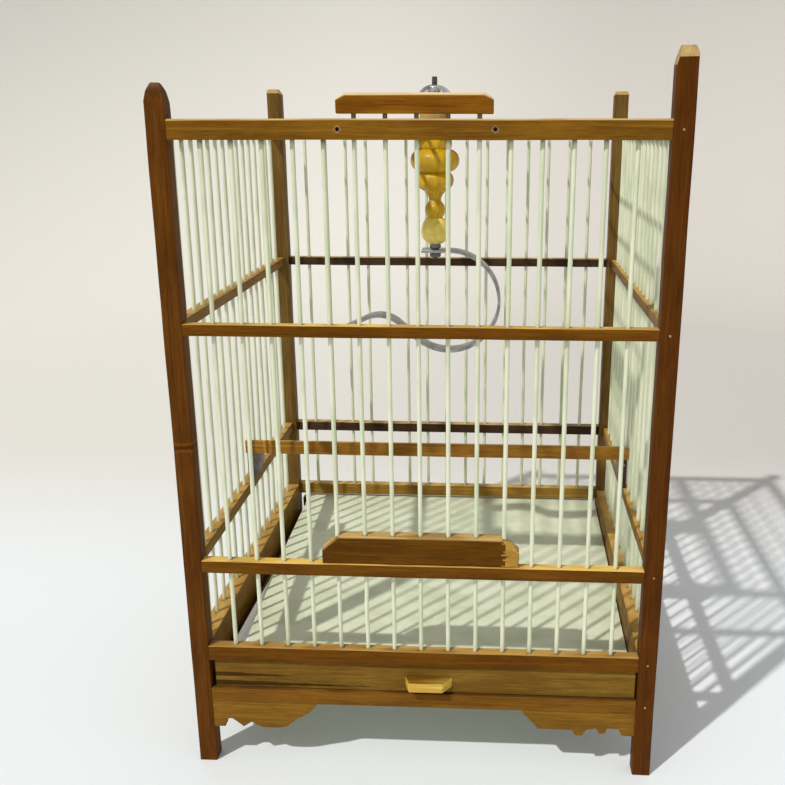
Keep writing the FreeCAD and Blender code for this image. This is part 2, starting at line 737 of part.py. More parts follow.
wing_nut = new_body("wing_nut")
hub = wing_nut.newObject("PartDesign::AdditiveCylinder", "wing_hub")
bind(hub, Radius="dims.wing_hub_diameter / 2", Height="dims.wing_hub_height")
arch = new_sketch(wing_nut, "wing_arch", "XZ_Plane")
arch_outer = size("wing_outer_radius")
arch_inner = arch_outer - size("wing_thickness")
CENTRE = FreeCAD.Vector(0, 0, 0)
LOW_ANGLE = math.radians(size("wing_low_angle"))
for radius in (arch_outer, arch_inner):
    circle = Part.Circle(CENTRE, Z_AXIS, radius)
    arch.addGeometry(Part.ArcOfCircle(circle, LOW_ANGLE, math.pi - LOW_ANGLE), False)
ends = [
    [FreeCAD.Vector(sign * radius * math.cos(LOW_ANGLE), radius * math.sin(LOW_ANGLE), 0)
     for radius in (arch_outer, arch_inner)]
    for sign in (1, -1)
]
for outer_end, inner_end in ends:
    arch.addGeometry(Part.LineSegment(outer_end, inner_end), False)
for first_curve, first_end, second_curve, second_end in (
    (0, 1, 2, 1), (1, 1, 2, 2), (0, 2, 3, 1), (1, 2, 3, 2),
):
    arch.addConstraint(Sketcher.Constraint(
        "Coincident", first_curve, first_end, second_curve, second_end))
arch.addConstraint(Sketcher.Constraint("Coincident", 0, 3, -1, 1))
arch.addConstraint(Sketcher.Constraint("Coincident", 1, 3, -1, 1))
WING_RADII = ("dims.wing_outer_radius", "dims.wing_outer_radius - dims.wing_thickness")
for curve_index, expression in enumerate(WING_RADII):
    radius_rule = Sketcher.Constraint("Radius", curve_index, evaluate(expression))
    constraint = arch.addConstraint(radius_rule)
    arch.setExpression(f"Constraints[{constraint}]", expression)
wing_pad = pad(wing_nut, arch, "dims.wing_width")
wing_pad.Midplane = True
wing_nut.Tip = cut_cylinder(
    wing_nut, "wing_bore", Radius=TURNING_BORE,
    Height=f"dims.wing_outer_radius + {2 * CLEAR}", z=f"-{CLEAR}",
)
turned(wing_nut, Z_AXIS, size("wing_turn"))
bind(wing_nut, z=f"{SPACER_TOP} + dims.washer_thickness + dims.wing_nut_gap")


def point(radius, height):
    return FreeCAD.Vector(radius, height, 0)


def arc_or_line(start, middle, end):
    """A straight side, or an arc through a middle point."""
    return Part.LineSegment(start, end) if middle is None else Part.Arc(start, middle, end)


def turned_wood(label, bottom, stations):
    """Turn a profile of stations (radius, height, bulge): a bulge is the radius halfway, or None."""
    body = new_body(label)
    sketch = new_sketch(body, label + "_profile", "XZ_Plane")
    corners = [point(radius, height) for radius, height, _ in stations]
    edges = []
    for index in range(1, len(stations)):
        start, end = corners[index - 1], corners[index]
        bulge = stations[index][2]
        middle = None if bulge is None else point(bulge, (start.y + end.y) / 2)
        edges.append(arc_or_line(start, middle, end))
    edges.append(Part.LineSegment(corners[-1], corners[0]))
    for edge in edges:
        sketch.addGeometry(edge, False)
    lathe = body.newObject("PartDesign::Revolution", label + "_turning")
    lathe.Profile = sketch
    lathe.ReferenceAxis = (sketch, ["V_Axis"])
    lathe.Angle = 360.0
    return bind(body, z=bottom)


bore_radius = evaluate(SNUG_BORE)
ball_height = size("ball_top") - size("ball_bottom")
ball_end_radius = evaluate(
    "sqrt(dims.ball_radius ^ 2 - ((dims.ball_top - dims.ball_bottom) / 2) ^ 2)")
turned_wood("finial_ball", "dims.ball_bottom", [
    (bore_radius, 0.0, None),
    (ball_end_radius, 0.0, None),
    (ball_end_radius, ball_height, size("ball_radius")),
    (bore_radius, ball_height, None),
])

# The finial from its foot on the ball to its neck under the board: a small bead, a waist,
# a pear-shaped bulge, a wide bulge, and a collar with a plain neck above it.
finial_top = evaluate(f"{ROOF_TOP} - dims.board_height - dims.ball_top")
turned_wood("finial", "dims.ball_top", [
    (bore_radius, 0.0, None),
    (5.2, 0.0, None),
    (5.6, 9.6, 7.3),
    (4.4, 13.2, 4.5),
    (8.8, 19.0, 5.8),
    (10.2, 31.4, 13.3),
    (10.6, 46.8, 17.2),
    (11.4, 47.6, None),
    (11.4, 54.0, 12.0),
    (6.0, 54.8, None),
    (6.0, finial_top, None),
    (bore_radius, finial_top, None),
])

hook = new_body("hook_strip")
hook_path = new_sketch(hook, "hook_path", "XZ_Plane")
strip_level = size("strip_level")
loop_radius = size("hook_radius")
loop_centre = FreeCAD.Vector(size("hook_centre"), strip_level - loop_radius, 0)
leave = math.radians(size("hook_leave_angle"))


def on_circle(centre, radius, angle):
    return centre + FreeCAD.Vector(radius * math.cos(angle), radius * math.sin(angle), 0)


# The strip leaves its flat eye, bends down and round, runs straight back up, and turns over.
eye_end = FreeCAD.Vector(-size("hook_eye_end"), strip_level, 0)
loop_start = on_circle(loop_centre, loop_radius, math.pi / 2)
loop_end = on_circle(loop_centre, loop_radius, leave)
loop_middle = (math.pi / 2 + leave - 2 * math.pi) / 2
link = FreeCAD.Vector(math.sin(leave), -math.cos(leave), 0)
link_end = loop_end + link * size("hook_link_length")
tail_radius = size("hook_tail_radius")
tail_centre = link_end + FreeCAD.Vector(-link.y, link.x, 0) * tail_radius
tail_from = math.atan2(link_end.y - tail_centre.y, link_end.x - tail_centre.x)
tail_to = tail_from + math.radians(size("hook_tail_turn"))
tail_start = on_circle(tail_centre, tail_radius, tail_to)
tail_run = FreeCAD.Vector(-math.sin(tail_to), math.cos(tail_to), 0) * size("hook_tail_length")
for curve in (
    Part.LineSegment(eye_end, loop_start),
    Part.Arc(loop_start, on_circle(loop_centre, loop_radius, loop_middle), loop_end),
    Part.LineSegment(loop_end, link_end),
    Part.Arc(link_end, on_circle(tail_centre, tail_radius, (tail_from + tail_to) / 2), tail_start),
    Part.LineSegment(tail_start, tail_start + tail_run),
):
    hook_path.addGeometry(curve, False)
strip_section = new_sketch(hook, "strip_section", "YZ_Plane")
outline(strip_section, [
    ("-dims.strip_width / 2", "dims.strip_level - dims.strip_thickness / 2"),
    ("dims.strip_width / 2", "dims.strip_level - dims.strip_thickness / 2"),
    ("dims.strip_width / 2", "dims.strip_level + dims.strip_thickness / 2"),
    ("-dims.strip_width / 2", "dims.strip_level + dims.strip_thickness / 2"),
])
strip_section.setExpression("AttachmentOffset.Base.z", "-dims.hook_eye_end")
strip = hook.newObject("PartDesign::AdditivePipe", "strip_sweep")
strip.Profile = strip_section
strip.Spine = (hook_path, [f"Edge{index}" for index in range(1, 6)])
hook.Tip = cut_cylinder(
    hook, "strip_eye", Radius=TURNING_BORE, Height=f"dims.strip_thickness + {2 * CLEAR}",
    z=f"dims.strip_level - dims.strip_thickness / 2 - {CLEAR}",
)


# ---------------------------------------------------------------- perch

PERCH_CENTRE = "(-dims.bar_pitch / 2)"
stick(
    "perch", Length="2 * dims.perch_half_length", Width="dims.perch_thickness",
    Height="dims.perch_height", x="-dims.perch_half_length",
    y=f"{PERCH_CENTRE} - dims.perch_thickness / 2", z="dims.perch_bottom",
)

REST_BOTTOM = "(dims.lower_rail_bottom + dims.lower_rail_height)"
REST_HEIGHT = f"(dims.perch_bottom - dims.perch_gap - {REST_BOTTOM})"
# Its round back as (distance back, share of the height): foot, curve, belly, curve, top.
REST_BACK = [(6.0, 0.0), (20.5, 0.2), (27.5, 0.6), (25.0, 0.88), (16.0, 1.0)]


def perch_rest(label, start_x):
    """A D-shaped plate on a side rail: straight front edge, round back, with a pin hole."""
    body = new_body(label)
    sketch = new_sketch(body, label + "_outline", "YZ_Plane")
    height = evaluate(REST_HEIGHT)
    front = -size("perch_rest_front")
    foot, low_curve, belly, high_curve, top = [point(back, share * height) for back, share in REST_BACK]
    front_foot = point(front, 0)
    front_top = point(front, height)
    for curve in (
        Part.LineSegment(front_foot, foot), Part.Arc(foot, low_curve, belly),
        Part.Arc(belly, high_curve, top), Part.LineSegment(top, front_top),
        Part.LineSegment(front_top, front_foot),
    ):
        sketch.addGeometry(curve, False)
    pad(body, sketch, "dims.perch_rest_thickness")
    body.Tip = cut_cylinder(
        body, label + "_pin_hole", X_AXIS, -90.0,
        Radius="dims.pin_diameter / 2 + dims.fixed_clearance", Height=f"dims.pin_length + {CLEAR}",
        x="dims.perch_rest_thickness / 2", y=f"-dims.perch_rest_front - {CLEAR}",
        z=f"{REST_HEIGHT} - dims.perch_rest_pin_drop",
    )
    return bind(body, x=start_x, z=REST_BOTTOM)


perch_rest("perch_rest_left", "-dims.perch_rest_outer")
perch_rest("perch_rest_right", "dims.perch_rest_outer - dims.perch_rest_thickness")
rest_pins = [
    round_bar(
        f"rest_pin_{name}", X_AXIS, -90.0, radius="dims.pin_diameter / 2", Height="dims.pin_length",
        x=f"{sign} * (dims.perch_rest_outer - dims.perch_rest_thickness / 2)",
        y="-dims.perch_rest_front", z=f"{REST_BOTTOM} + {REST_HEIGHT} - dims.perch_rest_pin_drop",
    )
    for name, sign in (("left", -1), ("right", 1))
]
group("brass_pins", post_pins + rest_pins)


# ---------------------------------------------------------------- check and write

doc.recompute()
faults = []
for item in doc.Objects:
    if any(state in item.State for state in ("Invalid", "Error")):
        faults.append(f"{item.Name}: {item.State}")
for piece in nodes:
    shape = piece.Shape
    if shape.isNull() or not shape.isValid() or not shape.Solids:
        faults.append(f"{piece.Label}: no valid solid")
if faults:
    raise RuntimeError("; ".join(faults))

os.makedirs("parts", exist_ok=True)
for piece in nodes:
    piece.Shape.exportStep(f"parts/{piece.Label}.step")
    box = piece.Shape.BoundBox
    print(
        f"{piece.Label:22s} solids {len(piece.Shape.Solids):3d}  volume {piece.Shape.Volume:10.1f}",
        f"x {box.XMin:8.2f} {box.XMax:8.2f}  y {box.YMin:8.2f} {box.YMax:8.2f}",
        f"z {box.ZMin:8.2f} {box.ZMax:8.2f}",
    )
print(len(nodes), "nodes")
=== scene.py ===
import json
import math
import random

import bmesh
import bpy
from mathutils import Matrix, Vector, noise

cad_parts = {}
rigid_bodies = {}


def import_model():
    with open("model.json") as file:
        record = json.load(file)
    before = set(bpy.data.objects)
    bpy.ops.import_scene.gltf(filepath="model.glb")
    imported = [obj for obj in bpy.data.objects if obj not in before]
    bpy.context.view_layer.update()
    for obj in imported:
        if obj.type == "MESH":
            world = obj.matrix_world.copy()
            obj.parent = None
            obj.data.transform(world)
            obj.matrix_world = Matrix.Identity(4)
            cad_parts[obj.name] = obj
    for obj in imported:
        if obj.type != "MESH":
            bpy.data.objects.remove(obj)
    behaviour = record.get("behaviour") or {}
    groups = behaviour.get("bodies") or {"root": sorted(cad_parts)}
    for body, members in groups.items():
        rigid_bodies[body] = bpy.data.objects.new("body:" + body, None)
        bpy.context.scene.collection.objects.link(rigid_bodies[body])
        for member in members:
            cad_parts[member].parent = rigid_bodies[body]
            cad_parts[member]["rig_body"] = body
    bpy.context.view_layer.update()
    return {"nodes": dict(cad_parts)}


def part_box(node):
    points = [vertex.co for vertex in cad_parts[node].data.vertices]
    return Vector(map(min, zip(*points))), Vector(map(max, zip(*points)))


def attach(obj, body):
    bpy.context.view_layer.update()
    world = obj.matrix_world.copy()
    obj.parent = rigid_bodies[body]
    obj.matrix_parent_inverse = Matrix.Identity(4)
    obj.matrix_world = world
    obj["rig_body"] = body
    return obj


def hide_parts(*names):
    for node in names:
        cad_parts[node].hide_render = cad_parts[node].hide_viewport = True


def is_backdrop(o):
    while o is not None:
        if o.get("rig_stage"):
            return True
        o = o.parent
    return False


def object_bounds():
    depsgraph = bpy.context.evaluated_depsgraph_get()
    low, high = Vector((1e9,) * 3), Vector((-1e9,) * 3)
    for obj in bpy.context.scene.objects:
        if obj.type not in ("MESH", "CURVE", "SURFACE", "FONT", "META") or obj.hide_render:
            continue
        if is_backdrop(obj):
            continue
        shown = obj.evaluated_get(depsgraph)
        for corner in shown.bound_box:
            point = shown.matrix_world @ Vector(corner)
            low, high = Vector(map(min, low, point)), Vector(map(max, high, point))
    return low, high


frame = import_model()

MM = 0.001
X, Y, Z = 0, 1, 2
CAD_NODES = frame["nodes"]
scene = bpy.context.scene
noise.seed_set(5)       # unseeded, noise_vector gives other shapes at each run; with 5 none of them clash


# ---------------------------------------------------------------- materials

class Graph:
    """A node material. Each call adds nodes and returns the socket that carries the result."""

    def __init__(self, name):
        self.material = bpy.data.materials.new(name)
        self.material.use_nodes = True
        self.tree = self.material.node_tree
        self.shader = self.tree.nodes["Principled BSDF"]
        self.place = self.add("ShaderNodeTexCoord").outputs["Object"]
        self.normal = self.add("ShaderNodeNewGeometry").outputs["Normal"]

    def add(self, kind, **settings):
        node = self.tree.nodes.new(kind)
        for key, value in settings.items():
            setattr(node, key, value)
        return node

    def put(self, socket, value):
        if isinstance(value, bpy.types.NodeSocket):
            self.tree.links.new(value, socket)
        elif socket.type == "RGBA" and len(value) == 3:
            socket.default_value = (*value, 1.0)
        else:
            socket.default_value = value

    def math(self, operation, first, second=0.0):
        node = self.add("ShaderNodeMath", operation=operation)
        self.put(node.inputs[0], first)
        self.put(node.inputs[1], second)
        return node.outputs[0]

    def times(self, vector, factors):
        node = self.add("ShaderNodeVectorMath", operation="MULTIPLY")
        self.put(node.inputs[0], vector)
        node.inputs[1].default_value = factors
        return node.outputs[0]

    def part(self, vector, axis):
        node = self.add("ShaderNodeSeparateXYZ")
        self.put(node.inputs[0], vector)
        return node.outputs[axis]

    def noise(self, sizes, detail=2.0, roughness=0.5, distortion=0.0):
        """Noise whose features are about sizes (x, y, z) metres long."""
        node = self.add("ShaderNodeTexNoise")
        self.put(node.inputs["Vector"], self.times(self.place, [1 / s for s in sizes]))
        node.inputs["Scale"].default_value = 1.0
        node.inputs["Detail"].default_value = detail
        node.inputs["Roughness"].default_value = roughness
        node.inputs["Distortion"].default_value = distortion
        return node.outputs["Fac"]

    def step(self, value, low, high, start=0.0, end=1.0):
        """start below low, end above high, and a smooth change between them."""
        node = self.add("ShaderNodeMapRange", interpolation_type="SMOOTHSTEP")
        self.put(node.inputs["Value"], value)
        node.inputs["From Min"].default_value = low
        node.inputs["From Max"].default_value = high
        node.inputs["To Min"].default_value = start
        node.inputs["To Max"].default_value = end
        return node.outputs["Result"]

    def mix(self, factor, first, second):
        """A blend of two colours. The node's sockets for colours are inputs 6 and 7 and output 2."""
        node = self.add("ShaderNodeMix", data_type="RGBA")
        self.put(node.inputs[0], factor)
        self.put(node.inputs[6], first)
        self.put(node.inputs[7], second)
        return node.outputs[2]

    def finish(self, colour, roughness, height=None, depth=0.0, strength=0.0, **fixed):
        """Wires up the shader: height, depth and strength make its bump, fixed are its other inputs."""
        self.put(self.shader.inputs["Base Color"], colour)
        self.put(self.shader.inputs["Roughness"], roughness)
        if height is not None:
            bump = self.add("ShaderNodeBump")
            bump.inputs["Strength"].default_value = strength
            bump.inputs["Distance"].default_value = depth
            self.put(bump.inputs["Height"], height)
            self.put(self.shader.inputs["Normal"], bump.outputs[0])
        for key, value in fixed.items():
            self.put(self.shader.inputs[key.replace("_", " ")], value)
        return self.material


def stretched(axis, along, across):
    """The sizes of a noise that is drawn out along one axis."""
    sizes = [across] * 3
    sizes[axis] = along
    return sizes


def shade(tint, *factors):
    """The colour made darker or lighter, by one factor or by one for each channel."""
    factors = factors * 3 if len(factors) == 1 else factors
    return [min(1.0, c * f) for c, f in zip(tint, factors)]


# Colour of sawn upper faces, with painted light from above on it
SAWN_AND_PAINTED_LIGHT = (0.66, 0.44, 0.16)


def bamboo(name, axis, tint, sawn_and_painted_light=SAWN_AND_PAINTED_LIGHT, top=0.9, streaks=0.5, mottle=0.45,
           knots=(), splits=(), outside=None):
    """Varnished split bamboo with its fibres along axis.
    The upper faces take the sawn colour, as much as top says: sawn wood with painted light from above
    on it, and painted shade where that colour is darker than the sides. mottle is how much
    varnish is left on them, knots are the places of growth rings along axis, and splits are
    dark tapered streaks on a front face: (x at the wide end, x at the tip, z, half width).
    outside is the colour of the faces turned to the back."""
    g = Graph(name)
    fibre = g.noise(stretched(axis, 0.030, 0.0007), detail=5.0, roughness=0.7)
    strand = g.noise(stretched(axis, 0.070, 0.0022), detail=3.0, roughness=0.6)
    patch = g.noise(stretched(axis, 0.045, 0.014), detail=2.0)
    colour = g.mix(g.step(patch, 0.35, 0.65), shade(tint, 0.82, 0.78, 0.75), shade(tint, 1.14))
    colour = g.mix(g.step(strand, 0.52, 0.74, 0.0, 0.65), colour, shade(tint, 1.6, 1.8, 2.1))
    colour = g.mix(g.step(strand, 0.32, 0.46, 0.55, 0.0), colour, shade(tint, 0.55, 0.48, 0.45))
    darker = shade(tint, 0.34, 0.28, 0.25)
    colour = g.mix(g.step(fibre, 0.50, 0.72, 0.0, streaks), colour, darker)
    grain = g.noise(stretched(axis, 0.012, 0.0004), detail=4.0, roughness=0.7)
    colour = g.mix(g.step(grain, 0.50, 0.62, 0.0, 0.45), colour, shade(tint, 0.55, 0.50, 0.45))
    colour = g.mix(g.step(grain, 0.36, 0.46, 0.40, 0.0), colour, shade(tint, 1.5, 1.55, 1.6))
    # Upper faces: sawn wood with painted light from above, painted shade instead where the given colour
    # is darker
    if top:
        facing_up = g.step(g.part(g.normal, Z), 0.35, 0.70, 0.0, top)
        wood = g.mix(g.step(fibre, 0.42, 0.70, 0.0, 0.6), sawn_and_painted_light, shade(sawn_and_painted_light, 0.62, 0.50, 0.40))
        wood = g.mix(g.step(patch, 0.46, 0.62, 0.0, mottle), wood, shade(tint, 1.7, 1.9, 2.2))
        colour = g.mix(facing_up, colour, wood)
    # Faces turned to the back get the outside colour; the others keep the tint, which for the back rails
    # is painted shade
    if outside is not None:
        wood = g.mix(g.step(fibre, 0.42, 0.70, 0.0, 0.6), outside, shade(outside, 0.55, 0.45, 0.40))
        colour = g.mix(g.step(g.part(g.normal, Y), 0.35, 0.70), colour, wood)
    along = g.part(g.place, axis)
    waver = g.math("MULTIPLY", g.math("SUBTRACT", g.noise((0.006, 0.006, 0.006)), 0.5), 0.004)
    for knot in knots:
        gap = g.math("ABSOLUTE", g.math("ADD", g.math("SUBTRACT", along, knot), waver))
        colour = g.mix(g.step(gap, 0.0004, 0.0016, 0.6, 0.0), colour, darker)
        halo = g.math("ABSOLUTE", g.math("SUBTRACT", gap, 0.0024))
        colour = g.mix(g.step(halo, 0.0003, 0.0012, 0.5, 0.0), colour, shade(tint, 2.0))
    for wide, tip, level, half in splits:
        share = g.step(along, min(wide, tip), max(wide, tip), float(wide < tip), float(wide > tip))
        away = g.math("ABSOLUTE", g.math("SUBTRACT", g.part(g.place, Z), level))
        away = g.math("ADD", away, g.math("MULTIPLY", waver, 0.25))
        inside = g.math("SUBTRACT", g.math("MULTIPLY", share, half), away)
        colour = g.mix(g.step(inside, -0.0001, 0.0005, 0.0, 0.9), colour, shade(tint, 0.20, 0.16, 0.2))
    rough = g.step(strand, 0.3, 0.7, 0.36, 0.56)
    return g.finish(colour, rough, fibre, depth=0.0003, strength=0.55, Specular_IOR_Level=0.05)


def rod_plastic(name, shade_from=None):
    """Extruded rod: pale green-white, with small scuffs and a faint drawn texture along it.
    From the given height up, just under the top rail, it is painted dark brown: painted shade under the
    rail."""
    g = Graph(name)
    drawn = g.noise((0.0006, 0.0006, 0.020), detail=3.0)
    blotch = g.noise((0.010, 0.010, 0.030), detail=2.0)
    colour = g.mix(g.step(blotch, 0.35, 0.65), ROD_GREEN, ROD_WHITE)
    scuff = g.step(g.noise((0.0016, 0.0016, 0.007), detail=3.0), 0.66, 0.74, 0.0, 0.35)
    colour = g.mix(scuff, colour, shade(ROD_GREEN, 0.55))
    # Painted shade: the rod turns dark brown under and above the top rail
    if shade_from is not None:
        ragged = g.math("MULTIPLY", g.noise((0.004, 0.004, 0.020), detail=2.0), 0.008)
        level = g.math("ADD", g.part(g.place, Z), ragged)
        colour = g.mix(g.step(level, shade_from, shade_from + 0.005, 0.0, 0.9), colour, ROD_PAINTED_SHADE)
    return g.finish(colour, g.step(drawn, 0.3, 0.7, 0.34, 0.50), drawn, depth=0.0001, strength=0.25,
                    Specular_IOR_Level=0.3)


def tray_plastic(name, light, dull):
    """Sheet PVC with water marks, faint dirt and fine scratches."""
    g = Graph(name)
    mark = g.noise((0.040, 0.022, 0.040), detail=4.0, roughness=0.6, distortion=0.4)
    speck = g.noise((0.0020, 0.0020, 0.0020), detail=3.0)
    scratch = g.noise((0.030, 0.0008, 0.030), detail=3.0)
    colour = g.mix(g.step(mark, 0.40, 0.66), light, dull)
    colour = g.mix(g.step(speck, 0.70, 0.80, 0.0, 0.35), colour, SPECK)
    rough = g.step(scratch, 0.35, 0.7, 0.34, 0.50)
    return g.finish(colour, rough, scratch, depth=0.00008, strength=0.25)


def metal(name, bright, dull, low, high, grain):
    """Bare or plated metal: grain is the size of its surface texture."""
    g = Graph(name)
    texture = g.noise((grain, grain, grain), detail=4.0, roughness=0.6)
    cloud = g.noise((0.006, 0.006, 0.006), detail=3.0)
    colour = g.mix(g.step(cloud, 0.35, 0.7), bright, dull)
    colour = g.mix(g.step(texture, 0.55, 0.75, 0.0, 0.3), colour, shade(dull, 0.4))
    return g.finish(colour, g.step(texture, 0.3, 0.7, low, high), texture, depth=0.00006,
                    strength=0.35, Metallic=1.0)


def turned(name, light, deep, gloss):
    """Lacquered turned wood: grain runs up the piece, with fine tool rings round it."""
    g = Graph(name)
    grain = g.noise((0.0022, 0.0022, 0.030), detail=4.0, roughness=0.6, distortion=0.3)
    patch = g.noise((0.012, 0.012, 0.020), detail=2.0)
    ring = g.noise((0.05, 0.05, 0.0009), detail=2.0)
    colour = g.mix(g.step(grain, 0.35, 0.68), light, deep)
    colour = g.mix(g.step(patch, 0.45, 0.7, 0.0, 0.5), colour, shade(deep, 0.72))
    rough = g.step(grain, 0.3, 0.7, gloss, gloss + 0.12)
    return g.finish(colour, rough, ring, depth=0.00008, strength=0.2,
                    Specular_IOR_Level=0.25, Coat_Weight=0.12, Coat_Roughness=0.30)


def plum(name):
    """Dark plum wood with a dull, slightly dusty face."""
    g = Graph(name)
    dust = g.noise((0.004, 0.004, 0.004), detail=4.0)
    fine = g.noise((0.0008, 0.0008, 0.0008), detail=2.0)
    colour = g.mix(g.step(dust, 0.45, 0.75, 0.0, 0.6), PLUM, PLUM_DUSTY)
    return g.finish(colour, g.step(dust, 0.3, 0.7, 0.28, 0.48), fine, depth=0.00008, strength=0.3)


ROD_GREEN, ROD_WHITE, ROD_PAINTED_SHADE = (0.61, 0.65, 0.44), (0.74, 0.75, 0.55), (0.17, 0.115, 0.035)
PAINTED_SHADE_FROM = 0.4035     # metres up: just under the top rail, where the painted shade on the rods begins
SPECK, PLUM, PLUM_DUSTY = (0.32, 0.33, 0.24), (0.026, 0.004, 0.010), (0.060, 0.018, 0.026)
POST, POST_RED, POST_BACK = (0.110, 0.036, 0.0030), (0.088, 0.026, 0.0020), (0.160, 0.090, 0.022)
# The front rails differ in colour; the inside of the back wall is painted darker and greyer, as painted
# shade
RAIL = {"top": (0.205, 0.090, 0.0070), "middle": (0.134, 0.048, 0.0022),
        "lower": (0.136, 0.050, 0.0030), "base": (0.132, 0.047, 0.0024), "sill": (0.185, 0.078, 0.0075)}
# Colours of the front rails' upper faces: sawn wood with painted light; the sill's dark top is painted
# shade
RAIL_TOPS = {"top": SAWN_AND_PAINTED_LIGHT, "middle": (0.95, 0.63, 0.160), "lower": (0.92, 0.61, 0.160),
             "base": (0.55, 0.33, 0.090), "sill": (0.10, 0.045, 0.012)}
RAIL_BACK_SHADED, RAIL_BACK_BASE = (0.056, 0.031, 0.0175), (0.29, 0.16, 0.028)
RAIL_SIDE = (0.230, 0.118, 0.0190)
# BATTEN is dark brown, darkened as painted shade for the shadow of the rails above the battens
DRAWER, BRACKET, BATTEN = (0.196, 0.104, 0.0140), (0.215, 0.105, 0.0120), (0.110, 0.058, 0.0120)
PLATE_TOP, PLATE_BOTTOM = (0.215, 0.078, 0.0038), (0.111, 0.0415, 0.0022)

LOOKS = {
    "post_ringed": bamboo("post_ringed", Z, POST, top=0.25, knots=(0.2225,)),
    "post_red": bamboo("post_red", Z, POST_RED, top=0.4, streaks=0.35),
    "post_back": bamboo("post_back", Z, POST_BACK, top=0.5),
    "cut": bamboo("post_cut_end", Z, (0.40, 0.27, 0.10), top=0.5, streaks=0.4),
    # The back rails' inner faces are painted dark grey-brown: painted shade; their back faces take the
    # front top rail's colour
    "rail_back": bamboo("rail_back", X, RAIL_BACK_SHADED, top=0.8, outside=RAIL["top"]),
    "rail_side": bamboo("rail_side", Y, RAIL_SIDE, sawn_and_painted_light=(0.62, 0.38, 0.10), top=0.8, streaks=0.7,
                        mottle=0.8),
    "beam": bamboo("roof_beam", Y, RAIL["top"]),
    "board": bamboo("roof_board", X, RAIL["top"]),
    "rail_back_base": bamboo("rail_back_base", X, RAIL_BACK_BASE, top=0.8),
    "bracket": bamboo("bracket_varnished", X, BRACKET, top=0.3, streaks=0.35),
    # The door's top plate has a pale top: a painted highlight along its upper front edge
    "plate_top": bamboo("door_top_varnished", X, PLATE_TOP, sawn_and_painted_light=(0.85, 0.66, 0.36), top=0.95,
                        streaks=0.35, mottle=0.15),
    "plate_bottom": bamboo("door_bottom_varnished", X, PLATE_BOTTOM, top=0.85),
    "splinter": bamboo("door_splinters", X, (0.42, 0.235, 0.040), top=0.6, streaks=0.9),
    "drawer": bamboo("drawer_varnished", X, DRAWER, streaks=0.7,
                     splits=((-0.136, -0.068, 0.0655, 0.0018), (-0.136, 0.0, 0.0592, 0.0020))),
    "batten": bamboo("batten_varnished", Y, BATTEN, top=0.3),
    # The pull's top is painted darker than its front: painted shade on the top, painted light on the
    # front
    "handle": bamboo("handle_varnished", X, (0.66, 0.41, 0.072), sawn_and_painted_light=(0.165, 0.068, 0.004),
                     top=0.95, streaks=0.3, mottle=0.2),
    "perch": bamboo("perch_varnished", X, (0.320, 0.150, 0.0230), top=0.5, knots=(-0.128,)),
    "rod": rod_plastic("rod_plastic", PAINTED_SHADE_FROM),
    "rod_roof": rod_plastic("rod_plastic_roof"),
    "sheet": tray_plastic("tray_sheet", (0.74, 0.78, 0.58), (0.62, 0.66, 0.46)),
    # The curled edge is painted near white: a painted highlight where the curl catches the light
    "lip": tray_plastic("tray_sheet_edge", (0.98, 0.98, 0.97), (0.92, 0.93, 0.91)),
    "hook": metal("hook_steel", (0.46, 0.46, 0.45), (0.26, 0.26, 0.26), 0.28, 0.46, 0.0011),
    "zinc": metal("zinc_dull", (0.34, 0.34, 0.32), (0.16, 0.155, 0.14), 0.42, 0.65, 0.0009),
    "thread": metal("thread_dark", (0.20, 0.19, 0.18), (0.09, 0.085, 0.08), 0.38, 0.55, 0.0007),
    "wing": metal("wing_plated", (0.82, 0.82, 0.83), (0.36, 0.36, 0.37), 0.14, 0.28, 0.0016),
    "finial": turned("finial_lacquer", (0.70, 0.43, 0.014), (0.50, 0.275, 0.008), 0.33),
    "ball": turned("ball_lacquer", (0.98, 0.80, 0.190), (0.86, 0.64, 0.120), 0.36),
    "spacer": turned("spacer_wood", (0.56, 0.40, 0.170), (0.42, 0.28, 0.110), 0.45),
    "plum": plum("rest_plum"),
    "brass": metal("pin_brass", (0.55, 0.39, 0.18), (0.34, 0.21, 0.08), 0.30, 0.48, 0.0006),
    "nail": metal("nail_dark", (0.03, 0.015, 0.013), (0.015, 0.008, 0.007), 0.45, 0.7, 0.0006),
    "torn": bamboo("torn_fibre", X, (0.30, 0.155, 0.080), top=0.0, streaks=0.4),
}
for level, tint in RAIL.items():
    LOOKS["rail_" + level] = bamboo("rail_front_" + level, X, tint, sawn_and_painted_light=RAIL_TOPS[level])


# ---------------------------------------------------------------- mesh tools

def cad_mesh(node):
    """The CAD node's solids as one clean mesh: welded, with flat faces made whole again."""
    bm = bmesh.new()
    bm.from_mesh(CAD_NODES[node].data)
    bmesh.ops.remove_doubles(bm, verts=bm.verts, dist=1e-6)
    bmesh.ops.dissolve_limit(bm, angle_limit=math.radians(0.6), verts=bm.verts, edges=bm.edges)
    return bm


def islands(node):
    """The points of each separate solid of a CAD node."""
    bm = cad_mesh(node)
    left = set(bm.verts)
    found = []
    while left:
        stack = [left.pop()]
        group = []
        while stack:
            vert = stack.pop()
            group.append(vert.co.copy())
            for edge in vert.link_edges:
                other = edge.other_vert(vert)
                if other in left:
                    left.remove(other)
                    stack.append(other)
        found.append(group)
    bm.free()
    return sorted(found, key=lambda group: tuple(round(c, 5) for c in span(group)[0]))


def span(points):
    """The low and high corners of the points' box."""
    low = Vector(min(p[a] for p in points) for a in (X, Y, Z))
    high = Vector(max(p[a] for p in points) for a in (X, Y, Z))
    return low, high


